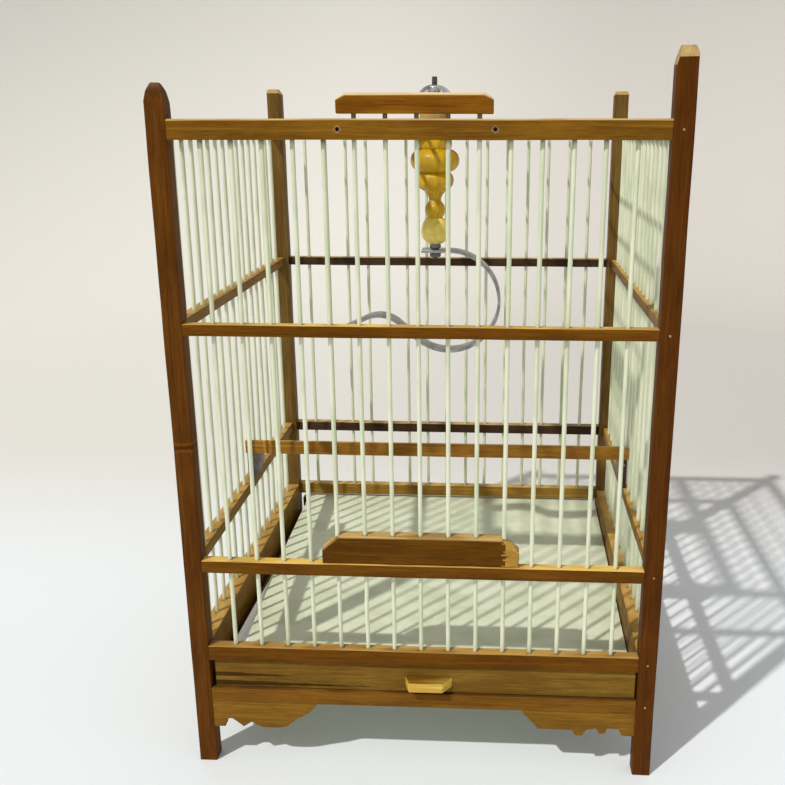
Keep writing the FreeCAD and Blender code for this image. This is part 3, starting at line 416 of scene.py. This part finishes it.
def round_edges(bm, width, shortest=0.0):
    """Rounds the sharp edges that are at least shortest long."""
    chosen = [e for e in bm.edges if len(e.link_faces) == 2 and e.calc_length() >= shortest
              and e.calc_face_angle(0.0) > math.radians(35.0)]
    bmesh.ops.bevel(bm, geom=chosen, offset=width, segments=2, profile=0.6,
                    affect="EDGES", clamp_overlap=False)


def slice_along(bm, axis, spacing, low=None, high=None):
    """Cuts the mesh into lengths, so that it can bend."""
    at = [v.co[axis] for v in bm.verts]
    low = min(at) if low is None else low
    high = max(at) if high is None else high
    count = max(1, round((high - low) / spacing))
    normal = [0.0, 0.0, 0.0]
    normal[axis] = 1.0
    for i in range(1, count):
        place = [0.0, 0.0, 0.0]
        place[axis] = low + (high - low) * i / count
        bmesh.ops.bisect_plane(bm, geom=bm.verts[:] + bm.edges[:] + bm.faces[:], dist=1e-7,
                               plane_co=place, plane_no=normal)


def hand_made(bm, slow, fast):
    """Moves the surface by a few tenths of a millimetre, as a knife and a plane leave it."""
    for vert in bm.verts:
        wide = noise.noise_vector(vert.co * 22.0)
        fine = noise.noise_vector(vert.co * 140.0 + Vector((7.0, 3.0, 5.0)))
        vert.co += wide * slow * MM + fine * fast * MM


def add_object(name, data):
    made = bpy.data.objects.new(name, data)
    scene.collection.objects.link(made)
    return made


def piece(bm, name, nodes, look, smooth=32.0, body=None, also=None):
    """Makes the object, hides the CAD nodes that it stands for, and hangs it on the body that carries it.
    also is a second look, for the faces whose material index is 1."""
    bmesh.ops.recalc_face_normals(bm, faces=bm.faces)
    mesh = bpy.data.meshes.new(name)
    bm.to_mesh(mesh)
    bm.free()
    mesh.materials.append(LOOKS[look])
    if also is not None:
        mesh.materials.append(LOOKS[also])
    mesh.shade_smooth()
    mesh.set_sharp_from_angle(angle=math.radians(smooth))
    made = add_object(name, mesh)
    if nodes:
        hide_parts(*nodes)
        body = CAD_NODES[nodes[0]]["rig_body"]
    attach(made, body)


def chamfer_top_front(bm, width):
    """Planes a flat along the upper front edge."""
    low, high = span([v.co for v in bm.verts])
    chosen = [e for e in bm.edges if all(abs(v.co.y - low.y) < 1e-5 and abs(v.co.z - high.z) < 1e-5
                                         for v in e.verts)]
    bmesh.ops.bevel(bm, geom=chosen, offset=width, segments=1, affect="EDGES")


def widen_holes(bm, extra, drift):
    """Opens the drilled holes round the upright bars, a little to one side of each bar."""
    near = 1.6 * MM     # just past a hole's edge, from its middle
    for vert in bm.verts:
        for x, y in BAR_PLACES:
            away = Vector((vert.co.x - x, vert.co.y - y))
            if away.length < near:
                vert.co.xy += away.normalized() * extra
                vert.co.x += drift
                break


def carve(node, look, width, shortest=0.0, axis=None, spacing=12 * MM, rough=1.0,
          chamfer=0.0, holes=False):
    """A hand-worked copy of a CAD solid: eased edges, and faces that aren't quite flat."""
    bm = cad_mesh(node)
    if holes:
        widen_holes(bm, extra=0.25 * MM, drift=0.2 * MM)
    if chamfer:
        chamfer_top_front(bm, chamfer)
    round_edges(bm, width, shortest)
    if axis is not None:
        slice_along(bm, axis, spacing)
        hand_made(bm, 0.25 * rough, 0.05 * rough)
    piece(bm, node + "_carved", [node], look)


def knife(bm, on, away, look_index):
    """Cuts off what lies beyond a plane through on that faces away, and closes the cut."""
    everything = bm.verts[:] + bm.edges[:] + bm.faces[:]
    cut = bmesh.ops.bisect_plane(bm, geom=everything, dist=1e-7, plane_co=on, plane_no=away,
                                 clear_outer=True)
    rim = [part for part in cut["geom_cut"] if isinstance(part, bmesh.types.BMEdge)]
    for face in bmesh.ops.contextual_create(bm, geom=rim)["faces"]:
        face.material_index = look_index


def rounded_square(half, ease):
    """The points of a square section with round corners, in order."""
    corner, side = 3, 2     # points of each corner, and of each side between two corners
    outline = []
    for quarter in range(4):
        turn = Matrix.Rotation(math.radians(90 * quarter), 2)
        inner = half - ease
        for i in range(corner):
            bend = math.radians(90 * i / (corner - 1))
            outline.append(turn @ Vector((inner + ease * math.cos(bend), inner + ease * math.sin(bend))))
        for i in range(1, side + 1):
            outline.append(turn @ Vector((inner * (1 - 2 * i / (side + 1)), half)))
    return outline


def tube(bm, line, radii, sides):
    """A closed round rod along line, a list of points that runs mostly one way."""
    way = (line[-1] - line[0]).normalized()
    side = way.orthogonal().normalized()
    other = way.cross(side)
    rings = []
    for point, radius in zip(line, radii):
        ring = []
        for i in range(sides):
            turn = 2 * math.pi * i / sides
            ring.append(bm.verts.new(point + (side * math.cos(turn) + other * math.sin(turn)) * radius))
        rings.append(ring)
    join_rings(bm, rings)


def bridge(bm, low, high):
    """Adds the faces between two rings of as many points."""
    for i in range(len(low)):
        j = (i + 1) % len(low)
        bm.faces.new((low[i], low[j], high[j], high[i]))


def join_rings(bm, rings):
    """Joins rings of points into a tube and closes both its ends."""
    for low, high in zip(rings, rings[1:]):
        bridge(bm, low, high)
    bm.faces.new(reversed(rings[0]))
    bm.faces.new(rings[-1])


def rods(node, bow, look="rod"):
    """The plastic rods of one CAD node, each a little bowed, with eased ends."""
    steps, sides = 14, 14
    ease = 0.4 * MM
    rng = random.Random(node)
    bm = bmesh.new()
    for points in islands(node):
        low, high = span(points)
        size = high - low
        axis = max((X, Y, Z), key=lambda a: size[a])
        radius = min(size) / 2
        middle = (low + high) / 2
        turn = rng.uniform(0, 2 * math.pi)
        lean = [0.0, 0.0, 0.0]
        lean[(axis + 1) % 3] = math.cos(turn)
        lean[(axis + 2) % 3] = math.sin(turn)
        waves = rng.choice((1, 2, 3))
        reach = rng.uniform(0.4, 1.0) * bow
        line = []
        radii = []
        for i in range(steps + 1):
            share = i / steps
            point = middle.copy()
            point[axis] = low[axis] + size[axis] * share
            point += Vector(lean) * reach * math.sin(waves * math.pi * share)
            line.append(point)
            radii.append(radius * (1 + 0.03 * noise.noise(point * 60.0)))
        first = line[0].copy()
        last = line[-1].copy()
        line[0][axis] += ease
        line[-1][axis] -= ease
        line = [first, *line, last]
        radii = [radii[0] - ease, *radii, radii[-1] - ease]
        tube(bm, line, radii, sides)
    piece(bm, node + "_rods", [node], look, smooth=50.0)


def turned_surface(bm, centre, outline, sides, wobble):
    """A closed surface turned round a vertical line: outline is (height, radius) from the bottom."""
    rings = []
    for height, radius in outline:
        ring = []
        for i in range(sides):
            turn = 2 * math.pi * i / sides
            at = Vector((math.cos(turn) * radius, math.sin(turn) * radius, height))
            at.xy *= 1 + wobble * noise.noise(at * 90.0)
            ring.append(bm.verts.new(at + Vector((centre.x, centre.y, 0.0))))
        rings.append(ring)
    join_rings(bm, rings)


def outline_of(node, levels):
    """The turned profile of a CAD node, sampled at even heights from the edges of its mesh."""
    bm = cad_mesh(node)
    low, high = span([v.co for v in bm.verts])
    centre = (low + high) / 2
    outline = []
    for i in range(levels + 1):
        height = low.z + (high.z - low.z) * i / levels
        height = min(max(height, low.z + 1e-5), high.z - 1e-5)
        reach = 0.0
        for edge in bm.edges:
            a, b = (v.co for v in edge.verts)
            if min(a.z, b.z) <= height <= max(a.z, b.z):
                share = (height - a.z) / (b.z - a.z) if abs(b.z - a.z) > 1e-9 else 0.0
                point = a.lerp(b, share)
                reach = max(reach, (point.xy - centre.xy).length)
        outline.append((height, reach))
    bm.free()
    return centre, outline


# ---------------------------------------------------------------- the frame

UPRIGHT_BARS = ("front_bars_left", "front_bars_right", "door_bars", "back_bars", "left_bars",
                "right_bars")
BAR_PLACES = []         # where the upright bars stand, seen from above
for group in UPRIGHT_BARS:
    for points in islands(group):
        low, high = span(points)
        BAR_PLACES.append(((low.x + high.x) / 2, (low.y + high.y) / 2))

# How each post's tip is cut. A cut is the way it faces, in degrees from +X, and two places that it
# passes through, as (millimetres in from the face, millimetres down from the top).
ARCH = ((0.0, 15.0), (0.3, 9.8), (1.4, 4.5), (2.8, 1.5), (3.8, 0.0))
TIP_CUTS = {
    "front_left": [(way, *pair) for way in (0, 90, 180, 270) for pair in zip(ARCH, ARCH[1:])],
    "front_right": [(270, (0.0, 5.5), (3.1, 0.0)), (180, (0.0, 9.5), (2.6, 0.0)),
                    (0, (0.0, 4.0), (1.4, 0.0)), (90, (0.0, 5.5), (2.6, 0.0))],
    "back_left": [(270, (0.0, 2.9), (2.2, 0.0)), (180, (0.0, 1.5), (1.0, 0.0)),
                  (0, (0.0, 4.5), (3.0, 0.0)), (90, (0.0, 3.0), (2.0, 0.0))],
    "back_right": [(270, (0.0, 2.5), (1.8, 0.0)), (180, (0.0, 3.0), (1.6, 0.0)),
                   (0, (0.0, 2.0), (1.0, 0.0)), (90, (0.0, 3.0), (2.0, 0.0))],
}
POST_LOOKS = {"front_left": ("post_ringed", "post_ringed"), "front_right": ("post_red", "cut"),
              "back_left": ("post_back", "cut"), "back_right": ("post_back", "cut")}


def post(side):
    """A square post with eased corners that isn't quite straight, its tip cut with a knife."""
    low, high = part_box("post_" + side)
    middle = (low + high) / 2
    half = (high.x - low.x) / 2
    section = rounded_square(half, 0.7 * MM)
    count = round((high.z - low.z) / (12 * MM))
    bm = bmesh.new()
    rings = []
    for k in range(count + 1):
        level = low.z + (high.z - low.z) * k / count
        rings.append([bm.verts.new((middle.x + p.x, middle.y + p.y, level)) for p in section])
    join_rings(bm, rings)
    hand_made(bm, 0.35, 0.06)
    for way, lower, upper in TIP_CUTS[side]:
        out = Vector((math.cos(math.radians(way)), math.sin(math.radians(way)), 0.0))
        along = out * (lower[0] - upper[0]) - Vector((0.0, 0.0, upper[1] - lower[1]))
        away = Vector((along.z * out.x, along.z * out.y, -along.dot(out)))
        on = middle + out * (half - lower[0] * MM)
        on.z = high.z - lower[1] * MM
        knife(bm, on, away, 1)
    look, tip_look = POST_LOOKS[side]
    piece(bm, "post_" + side + "_carved", ["post_" + side], look,
          smooth=28.0, also=tip_look)


for side in TIP_CUTS:
    post(side)

LEVELS = ("top", "middle", "lower", "base", "sill")
EASED_FROM = 2.2 * MM   # shorter edges, such as those of the bar holes, stay sharp
for wall, axis in (("front", X), ("back", X), ("left", Y), ("right", Y)):
    for level in LEVELS:
        if wall == "front":
            look = "rail_" + level
        elif wall == "back":
            look = "rail_back_base" if level == "base" else "rail_back"
        else:
            look = "rail_side"
        # The front top rail's flat along its upper front edge takes the pale top colour: a painted
        # highlight
        flat = 1.0 * MM if (wall, level) == ("front", "top") else 0.0
        carve(f"rail_{wall}_{level}", look, 0.4 * MM,
              shortest=EASED_FROM, axis=axis, chamfer=flat, holes=level != "sill")

WALL_BOW = 0.35 * MM
STRAIGHT_BOW = 0.12 * MM    # of the bars beside the door, which slides on two of them
for group in ("front_bars_left", "front_bars_right"):
    rods(group, STRAIGHT_BOW)
for group in ("front_short_bars", "back_bars", "left_bars", "right_bars"):
    rods(group, WALL_BOW)
rods("roof_bars", 0.25 * MM, look="rod_roof")

for node in ("roof_beam_left", "roof_beam_right"):
    carve(node, "beam", 0.45 * MM, shortest=EASED_FROM, axis=Y)
carve("roof_centre_board", "board", 0.5 * MM, shortest=EASED_FROM, axis=X)
for side in ("left", "right"):
    carve("drawer_runner_" + side, "batten", 0.4 * MM, shortest=EASED_FROM, axis=Y)
    carve("sill_bracket_" + side, "bracket", 0.35 * MM, axis=X,
          spacing=8 * MM, rough=0.6)


# ---------------------------------------------------------------- small metal

def pin_heads(node, look, reach, proud, painted=None):
    """Each pin of a CAD node, with a small domed head where it comes out of the wood.
    painted is the look of the pins in the front left post, which are varnished over."""
    bm = bmesh.new()
    sides = 14
    front_posts = -100 * MM     # the pins with a smaller y are in the front posts
    for points in islands(node):
        low, high = span(points)
        size = high - low
        axis = max((X, Y, Z), key=lambda a: size[a])
        middle = (low + high) / 2
        outward = 1.0 if middle[axis] > 0 else -1.0
        face = high[axis] if outward > 0 else low[axis]
        radius = min(size) / 2 * reach
        line = []
        radii = []
        for along, share in ((-3.0 * MM, 0.8), (-0.02 * MM, 0.8), (0.0, 1.0),
                             (0.55 * proud, 0.86), (0.9 * proud, 0.5), (proud, 0.12)):
            point = middle.copy()
            point[axis] = face + outward * along
            line.append(point)
            radii.append(radius * share)
        tube(bm, line, radii, sides)
    for face in bm.faces:
        middle = face.calc_center_median()
        face.material_index = int(painted is not None and middle.x < 0 and middle.y < front_posts)
    piece(bm, node + "_heads", [node], look, smooth=50.0, also=painted)


pin_heads("brass_pins", "brass", 1.05, 0.25 * MM, painted="post_ringed")
pin_heads("beam_nails", "nail", 0.97, 0.1 * MM)


def torn_rims():
    """The raised ring of crushed fibre round each sunk beam nail."""
    bm = bmesh.new()
    sides = 20
    for points in islands("beam_nails"):
        low, high = span(points)
        middle = (low + high) / 2
        outward = 1.0 if middle.y > 0 else -1.0
        wall = "rail_back_top" if outward > 0 else "rail_front_top"
        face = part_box(wall)[1].y if outward > 0 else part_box(wall)[0].y
        radius = (high.x - low.x) / 2
        rings = []
        for reach, height in ((1.05, -0.5), (1.08, 0.05), (1.35, 0.12), (1.85, 0.05), (2.0, -0.4)):
            ring = []
            for i in range(sides):
                turn = 2 * math.pi * i / sides
                about = Vector((math.cos(turn), math.sin(turn), middle.x * 90))
                fray = 1 + 0.16 * math.cos(4 * turn) + 0.25 * noise.noise(about * 1.8)
                far = radius * (1 + (reach - 1) * fray)
                ring.append(bm.verts.new((middle.x + far * math.cos(turn),
                                          face + outward * height * MM * fray,
                                          middle.z + far * math.sin(turn))))
            rings.append(ring)
        for inner, outer in zip(rings, [*rings[1:], rings[0]]):
            bridge(bm, inner, outer)
    piece(bm, "beam_nail_rims", [], "torn", smooth=60.0, body="frame")


torn_rims()


# How the nut's corners are turned off: (share of its height, largest reach from its middle as a
# share of half its width across the flats)
NUT_PROFILE = ((0.0, 0.9894), (0.06, 1.02), (0.20, 1.2), (0.80, 1.2), (0.94, 1.02), (1.0, 0.9894))


def hex_nut(bm, low, high):
    """A hexagon nut with its corners turned off at both ends."""
    sides = 72
    centre = (low + high) / 2
    across = (high.y - low.y) / 2
    height = high.z - low.z
    rings = []
    for rise, limit in NUT_PROFILE:
        ring = []
        for i in range(sides):
            turn = 2 * math.pi * i / sides
            from_flat = (turn + math.pi / 6) % (math.pi / 3) - math.pi / 6
            reach = min(across / math.cos(from_flat), across * limit)
            ring.append(bm.verts.new((centre.x + reach * math.sin(turn),
                                      centre.y + reach * math.cos(turn), low.z + height * rise)))
        rings.append(ring)
    join_rings(bm, rings)


def nuts():
    bm = bmesh.new()
    for points in islands("hook_nuts"):
        hex_nut(bm, *span(points))
    piece(bm, "hook_nuts_chamfered", ["hook_nuts"], "zinc")


def threaded_rod():
    """A rod with a real helical thread cut in it."""
    pitch, cut, ease = 0.7 * MM, 0.32 * MM, 0.4 * MM
    sides, per_turn = 20, 5
    low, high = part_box("threaded_rod")
    centre = (low + high) / 2
    radius = (high.x - low.x) / 2
    count = int((high.z - low.z) / pitch * per_turn)
    bm = bmesh.new()
    rings = []
    for k in range(count + 1):
        height = low.z + (high.z - low.z) * k / count
        end = min(height - low.z, high.z - height)
        ring = []
        for i in range(sides):
            phase = (height / pitch + i / sides) % 1.0
            depth = cut * abs(2 * phase - 1)
            reach = radius - depth - max(0.0, ease - end)
            turn = 2 * math.pi * i / sides
            ring.append(bm.verts.new((centre.x + reach * math.cos(turn),
                                      centre.y + reach * math.sin(turn), height)))
        rings.append(ring)
    join_rings(bm, rings)
    piece(bm, "threaded_rod_cut", ["threaded_rod"], "thread", smooth=25.0)


nuts()
threaded_rod()
carve("roof_washer", "zinc", 0.12 * MM)
carve("roof_spacer", "spacer", 0.6 * MM)
carve("wing_nut", "wing", 0.45 * MM)
carve("hook_strip", "hook", 0.3 * MM)


# ---------------------------------------------------------------- turned drop

def finial():
    centre, outline = outline_of("finial", 130)
    bm = bmesh.new()
    turned_surface(bm, centre, outline, 56, wobble=0.01)
    piece(bm, "finial_turned", ["finial"], "finial", smooth=45.0)


def ball():
    """A whittled ball: turned round, then shaved flat in a few places."""
    centre, outline = outline_of("finial_ball", 30)
    bm = bmesh.new()
    turned_surface(bm, centre, outline, 40, wobble=0.015)
    low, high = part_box("finial_ball")
    middle = (low + high) / 2
    radius = (high.x - low.x) / 2
    for turn, tilt, depth in ((-60, 10, 0.90), (-115, -18, 0.91), (-10, -25, 0.90), (60, 5, 0.91),
                              (130, -10, 0.91), (190, 15, 0.90), (-85, 42, 0.92), (240, -35, 0.91)):
        a, e = math.radians(turn), math.radians(tilt)
        way = Vector((math.cos(a) * math.cos(e), math.sin(a) * math.cos(e), math.sin(e)))
        for vert in bm.verts:
            over = (vert.co - middle).dot(way) - radius * depth
            if over > 0:
                vert.co -= way * over
    piece(bm, "finial_ball_whittled", ["finial_ball"], "ball", smooth=16.0)


finial()
ball()


# ---------------------------------------------------------------- perch

for side in ("left", "right"):
    carve("perch_rest_" + side, "plum", 0.5 * MM)
carve("perch", "perch", 0.7 * MM, shortest=1.5 * MM, axis=X)


# ---------------------------------------------------------------- door

HOLE_KEEP = 2.2 * MM     # how near a bar hole the plate stays whole


def rough_end(bm, face, reach, depth):
    """Splinters the end of a plate: the last reach of it is torn back by up to depth.
    The holes that the bars slide in stay round."""
    for vert in bm.verts:
        if any(math.hypot(vert.co.x - x, vert.co.y - y) < HOLE_KEEP for x, y in BAR_PLACES):
            continue
        near = max(0.0, 1 - (face - vert.co.x) / reach)
        tear = noise.noise(Vector((3.0, vert.co.y * 500, vert.co.z * 700)))
        bite = noise.noise(Vector((vert.co.x * 400, vert.co.y * 300, vert.co.z * 900)))
        vert.co.x -= near * near * depth * abs(tear)
        vert.co.y += near * 0.5 * MM * bite
        vert.co.z += near * 0.4 * MM * tear


def door_bottom_plate():
    bm = cad_mesh("door_bottom_plate")
    widen_holes(bm, extra=0.3 * MM, drift=0.0)
    round_edges(bm, 0.5 * MM, shortest=3.0 * MM)
    slice_along(bm, X, 10 * MM)
    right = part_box("door_bottom_plate")[1].x
    slice_along(bm, X, 1.2 * MM, right - 16 * MM, right)
    slice_along(bm, Z, 1.1 * MM)
    hand_made(bm, 0.2, 0.05)
    rough_end(bm, right, reach=14 * MM, depth=1.6 * MM)
    for face in bm.faces:
        middle = face.calc_center_median()
        reach = 9 * MM + 5 * MM * noise.noise(Vector((2.0, 5.0, middle.z * 800)))
        face.material_index = int(middle.x > right - reach)
    piece(bm, "door_bottom_plate_carved", ["door_bottom_plate"], "plate_bottom",
          smooth=40.0, also="splinter")


carve("door_top_plate", "plate_top", 0.8 * MM, shortest=3.0 * MM, axis=X)
door_bottom_plate()
rods("door_bars", 0.08 * MM)


# ---------------------------------------------------------------- drawer

carve("drawer_front", "drawer", 0.45 * MM, shortest=EASED_FROM, axis=X)
for side in ("left", "right"):
    carve("drawer_batten_" + side, "batten", 0.4 * MM, shortest=EASED_FROM, axis=Y)
carve("drawer_batten_back", "rail_back", 0.4 * MM, shortest=EASED_FROM, axis=X)
carve("drawer_handle", "handle", 0.7 * MM)


SHEET_THICKNESS = 1.5 * MM
LIP_WIDTH = 5.5 * MM    # of the curled left edge, at the front
LIP_END = 0.42          # where the curl runs out, as a share of the sheet's depth
LIP_SPREAD = 5.2 * MM   # how far the curled edge leans out, at the front
LIP_PULL = 16 * MM      # how far in from the edge that lean is felt
LIP_RISE = 1.3 * MM


def floor_sheet():
    """The tray's sheet: it slopes up to the back, isn't quite flat, and its left edge curls up."""
    low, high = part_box("drawer_floor_sheet")
    columns, rows = 60, 64
    slope = high.z - low.z - SHEET_THICKNESS
    bm = bmesh.new()
    layers = []
    for layer in (0, 1):
        grid = []
        for r in range(rows + 1):
            line = []
            back = r / rows
            lip = LIP_WIDTH * max(0.02, 1 - back / LIP_END)
            for c in range(columns + 1):
                share = (c / columns) ** 1.6    # closer together near the curled edge
                x = low.x + (high.x - low.x) * share
                y = low.y + (high.y - low.y) * back
                dip = 0.25 * MM * (noise.noise(Vector((x * 14, y * 11, 1.0))) - 0.5)
                curl = max(0.0, 1 - (x - low.x) / lip) ** 1.5 * LIP_RISE * min(1.0, lip / (2 * MM))
                edge = min(1.0, 12 * back, 12 * (1 - back))
                z = low.z + slope * back + SHEET_THICKNESS * layer + dip * edge + curl
                lean = max(0.0, 1 - back / LIP_END) * max(0.0, 1 - (x - low.x) / LIP_PULL)
                x -= LIP_SPREAD * lean
                line.append(bm.verts.new((x, y, z)))
            grid.append(line)
        layers.append(grid)
    bottom, top = layers
    for r in range(rows):
        for c in range(columns):
            bm.faces.new((top[r][c], top[r][c + 1], top[r + 1][c + 1], top[r + 1][c]))
            bm.faces.new((bottom[r + 1][c], bottom[r + 1][c + 1], bottom[r][c + 1], bottom[r][c]))
    for r in range(rows):
        bm.faces.new((bottom[r][0], top[r][0], top[r + 1][0], bottom[r + 1][0]))
        bm.faces.new((top[r][-1], bottom[r][-1], bottom[r + 1][-1], top[r + 1][-1]))
    for c in range(columns):
        bm.faces.new((top[0][c], bottom[0][c], bottom[0][c + 1], top[0][c + 1]))
        bm.faces.new((bottom[-1][c], top[-1][c], top[-1][c + 1], bottom[-1][c + 1]))
    for face in bm.faces:
        middle = face.calc_center_median()
        back = (middle.y - low.y) / (high.y - low.y)
        face.material_index = int(middle.x < low.x + LIP_WIDTH * (1 - back / LIP_END))
    piece(bm, "drawer_floor_sheet_curled", ["drawer_floor_sheet"], "sheet",
          also="lip")


floor_sheet()


# ---------------------------------------------------------------- floor, light and camera

def paper(name, front, back, right):
    """Matt backdrop paper: pale in front, painted darker and warmer behind the object and darker still
    behind its right: painted shade on the far paper.
    """
    g = Graph(name)
    behind = g.mix(g.step(g.part(g.place, X), -0.45, 0.50), back, right)
    colour = g.mix(g.step(g.part(g.place, Y), 0.05, 0.52), front, behind)
    return g.finish(colour, 0.9, Specular_IOR_Level=0.1)


def stage_surface(name, outline, look, closed=False):
    """A round stage surface from (radius, height) pairs, from the middle outwards.
    closed says that it has no hole in its middle."""
    sides = 96
    bm = bmesh.new()
    rings = []
    for radius, height in outline:
        rings.append([bm.verts.new((radius * math.cos(2 * math.pi * i / sides),
                                    radius * math.sin(2 * math.pi * i / sides), height))
                      for i in range(sides)])
    for inner, outer in zip(rings, rings[1:]):
        bridge(bm, outer, inner)
    if closed:
        bm.faces.new(rings[0])
    mesh = bpy.data.meshes.new(name)
    bm.to_mesh(mesh)
    bm.free()
    mesh.materials.append(look)
    mesh.shade_smooth()
    made = add_object(name, mesh)
    made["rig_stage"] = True
    return made


def aim(made, way):
    """Points a light or a camera along way."""
    made.rotation_mode = "QUATERNION"
    made.rotation_quaternion = way.to_track_quat("-Z", "Y")


FLOOR_RADIUS = 1.4
SWEEP = 0.9             # radius of the curve from the floor up to the wall
WALL_TOP = 1.5
# The second and third colours are painted shade on the paper behind the object and behind its right
backdrop = paper("paper_sweep", (0.84, 0.865, 0.88), (0.735, 0.712, 0.660), (0.572, 0.540, 0.505))
stage_surface("floor", [(0.02, 0.0), (FLOOR_RADIUS / 2, 0.0), (FLOOR_RADIUS, 0.0)], backdrop,
              closed=True)
curve = [(FLOOR_RADIUS + SWEEP * math.sin(t), SWEEP * (1 - math.cos(t)))
         for t in (math.radians(6 * k) for k in range(16))]
sweep = stage_surface("sweep", [*curve, (FLOOR_RADIUS + SWEEP, WALL_TOP)], backdrop)
sweep.visible_shadow = False

SUN_HEADING = 48.5      # degrees from +X that the light travels, seen from above
SUN_ELEVATION = 50.2
key = bpy.data.lights.new("key", "SUN")
key.energy = 2.4
key.angle = math.radians(1.4)
key.color = (1.0, 0.985, 0.95)
key_object = add_object("key", key)
heading, elevation = math.radians(SUN_HEADING), math.radians(SUN_ELEVATION)
travel = Vector((math.cos(heading) * math.cos(elevation), math.sin(heading) * math.cos(elevation),
                 -math.sin(elevation)))
aim(key_object, travel)

world = bpy.data.worlds.new("studio")
scene.world = world
world.use_nodes = True
background = world.node_tree.nodes["Background"]
background.inputs["Color"].default_value = (0.95, 0.975, 1.0, 1.0)
background.inputs["Strength"].default_value = 0.49

scene.view_settings.view_transform = "Standard"
scene.view_settings.look = "None"

IMAGE = 785.0           # the picture's side in pixels
FOCAL = 952.35          # pixels
CENTRE = (449.2, 406.3) # where the optical axis meets the picture
EYE = Vector((47.34, -687.34, 412.49)) * MM
HEADING, PITCH = math.radians(-3.108), math.radians(16.653)
lens = bpy.data.cameras.new("camera")
lens.sensor_width = 36.0
lens.lens = FOCAL / IMAGE * lens.sensor_width
lens.shift_x = (IMAGE / 2 - CENTRE[0]) / IMAGE
lens.shift_y = (CENTRE[1] - IMAGE / 2) / IMAGE
lens.clip_start, lens.clip_end = 0.01, 50.0
lens.dof.use_dof = False
camera = add_object("camera", lens)
camera.location = EYE
look_along = Vector((math.sin(HEADING) * math.cos(PITCH), math.cos(HEADING) * math.cos(PITCH),
                     -math.sin(PITCH)))
aim(camera, look_along)
scene.camera = camera

low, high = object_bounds()
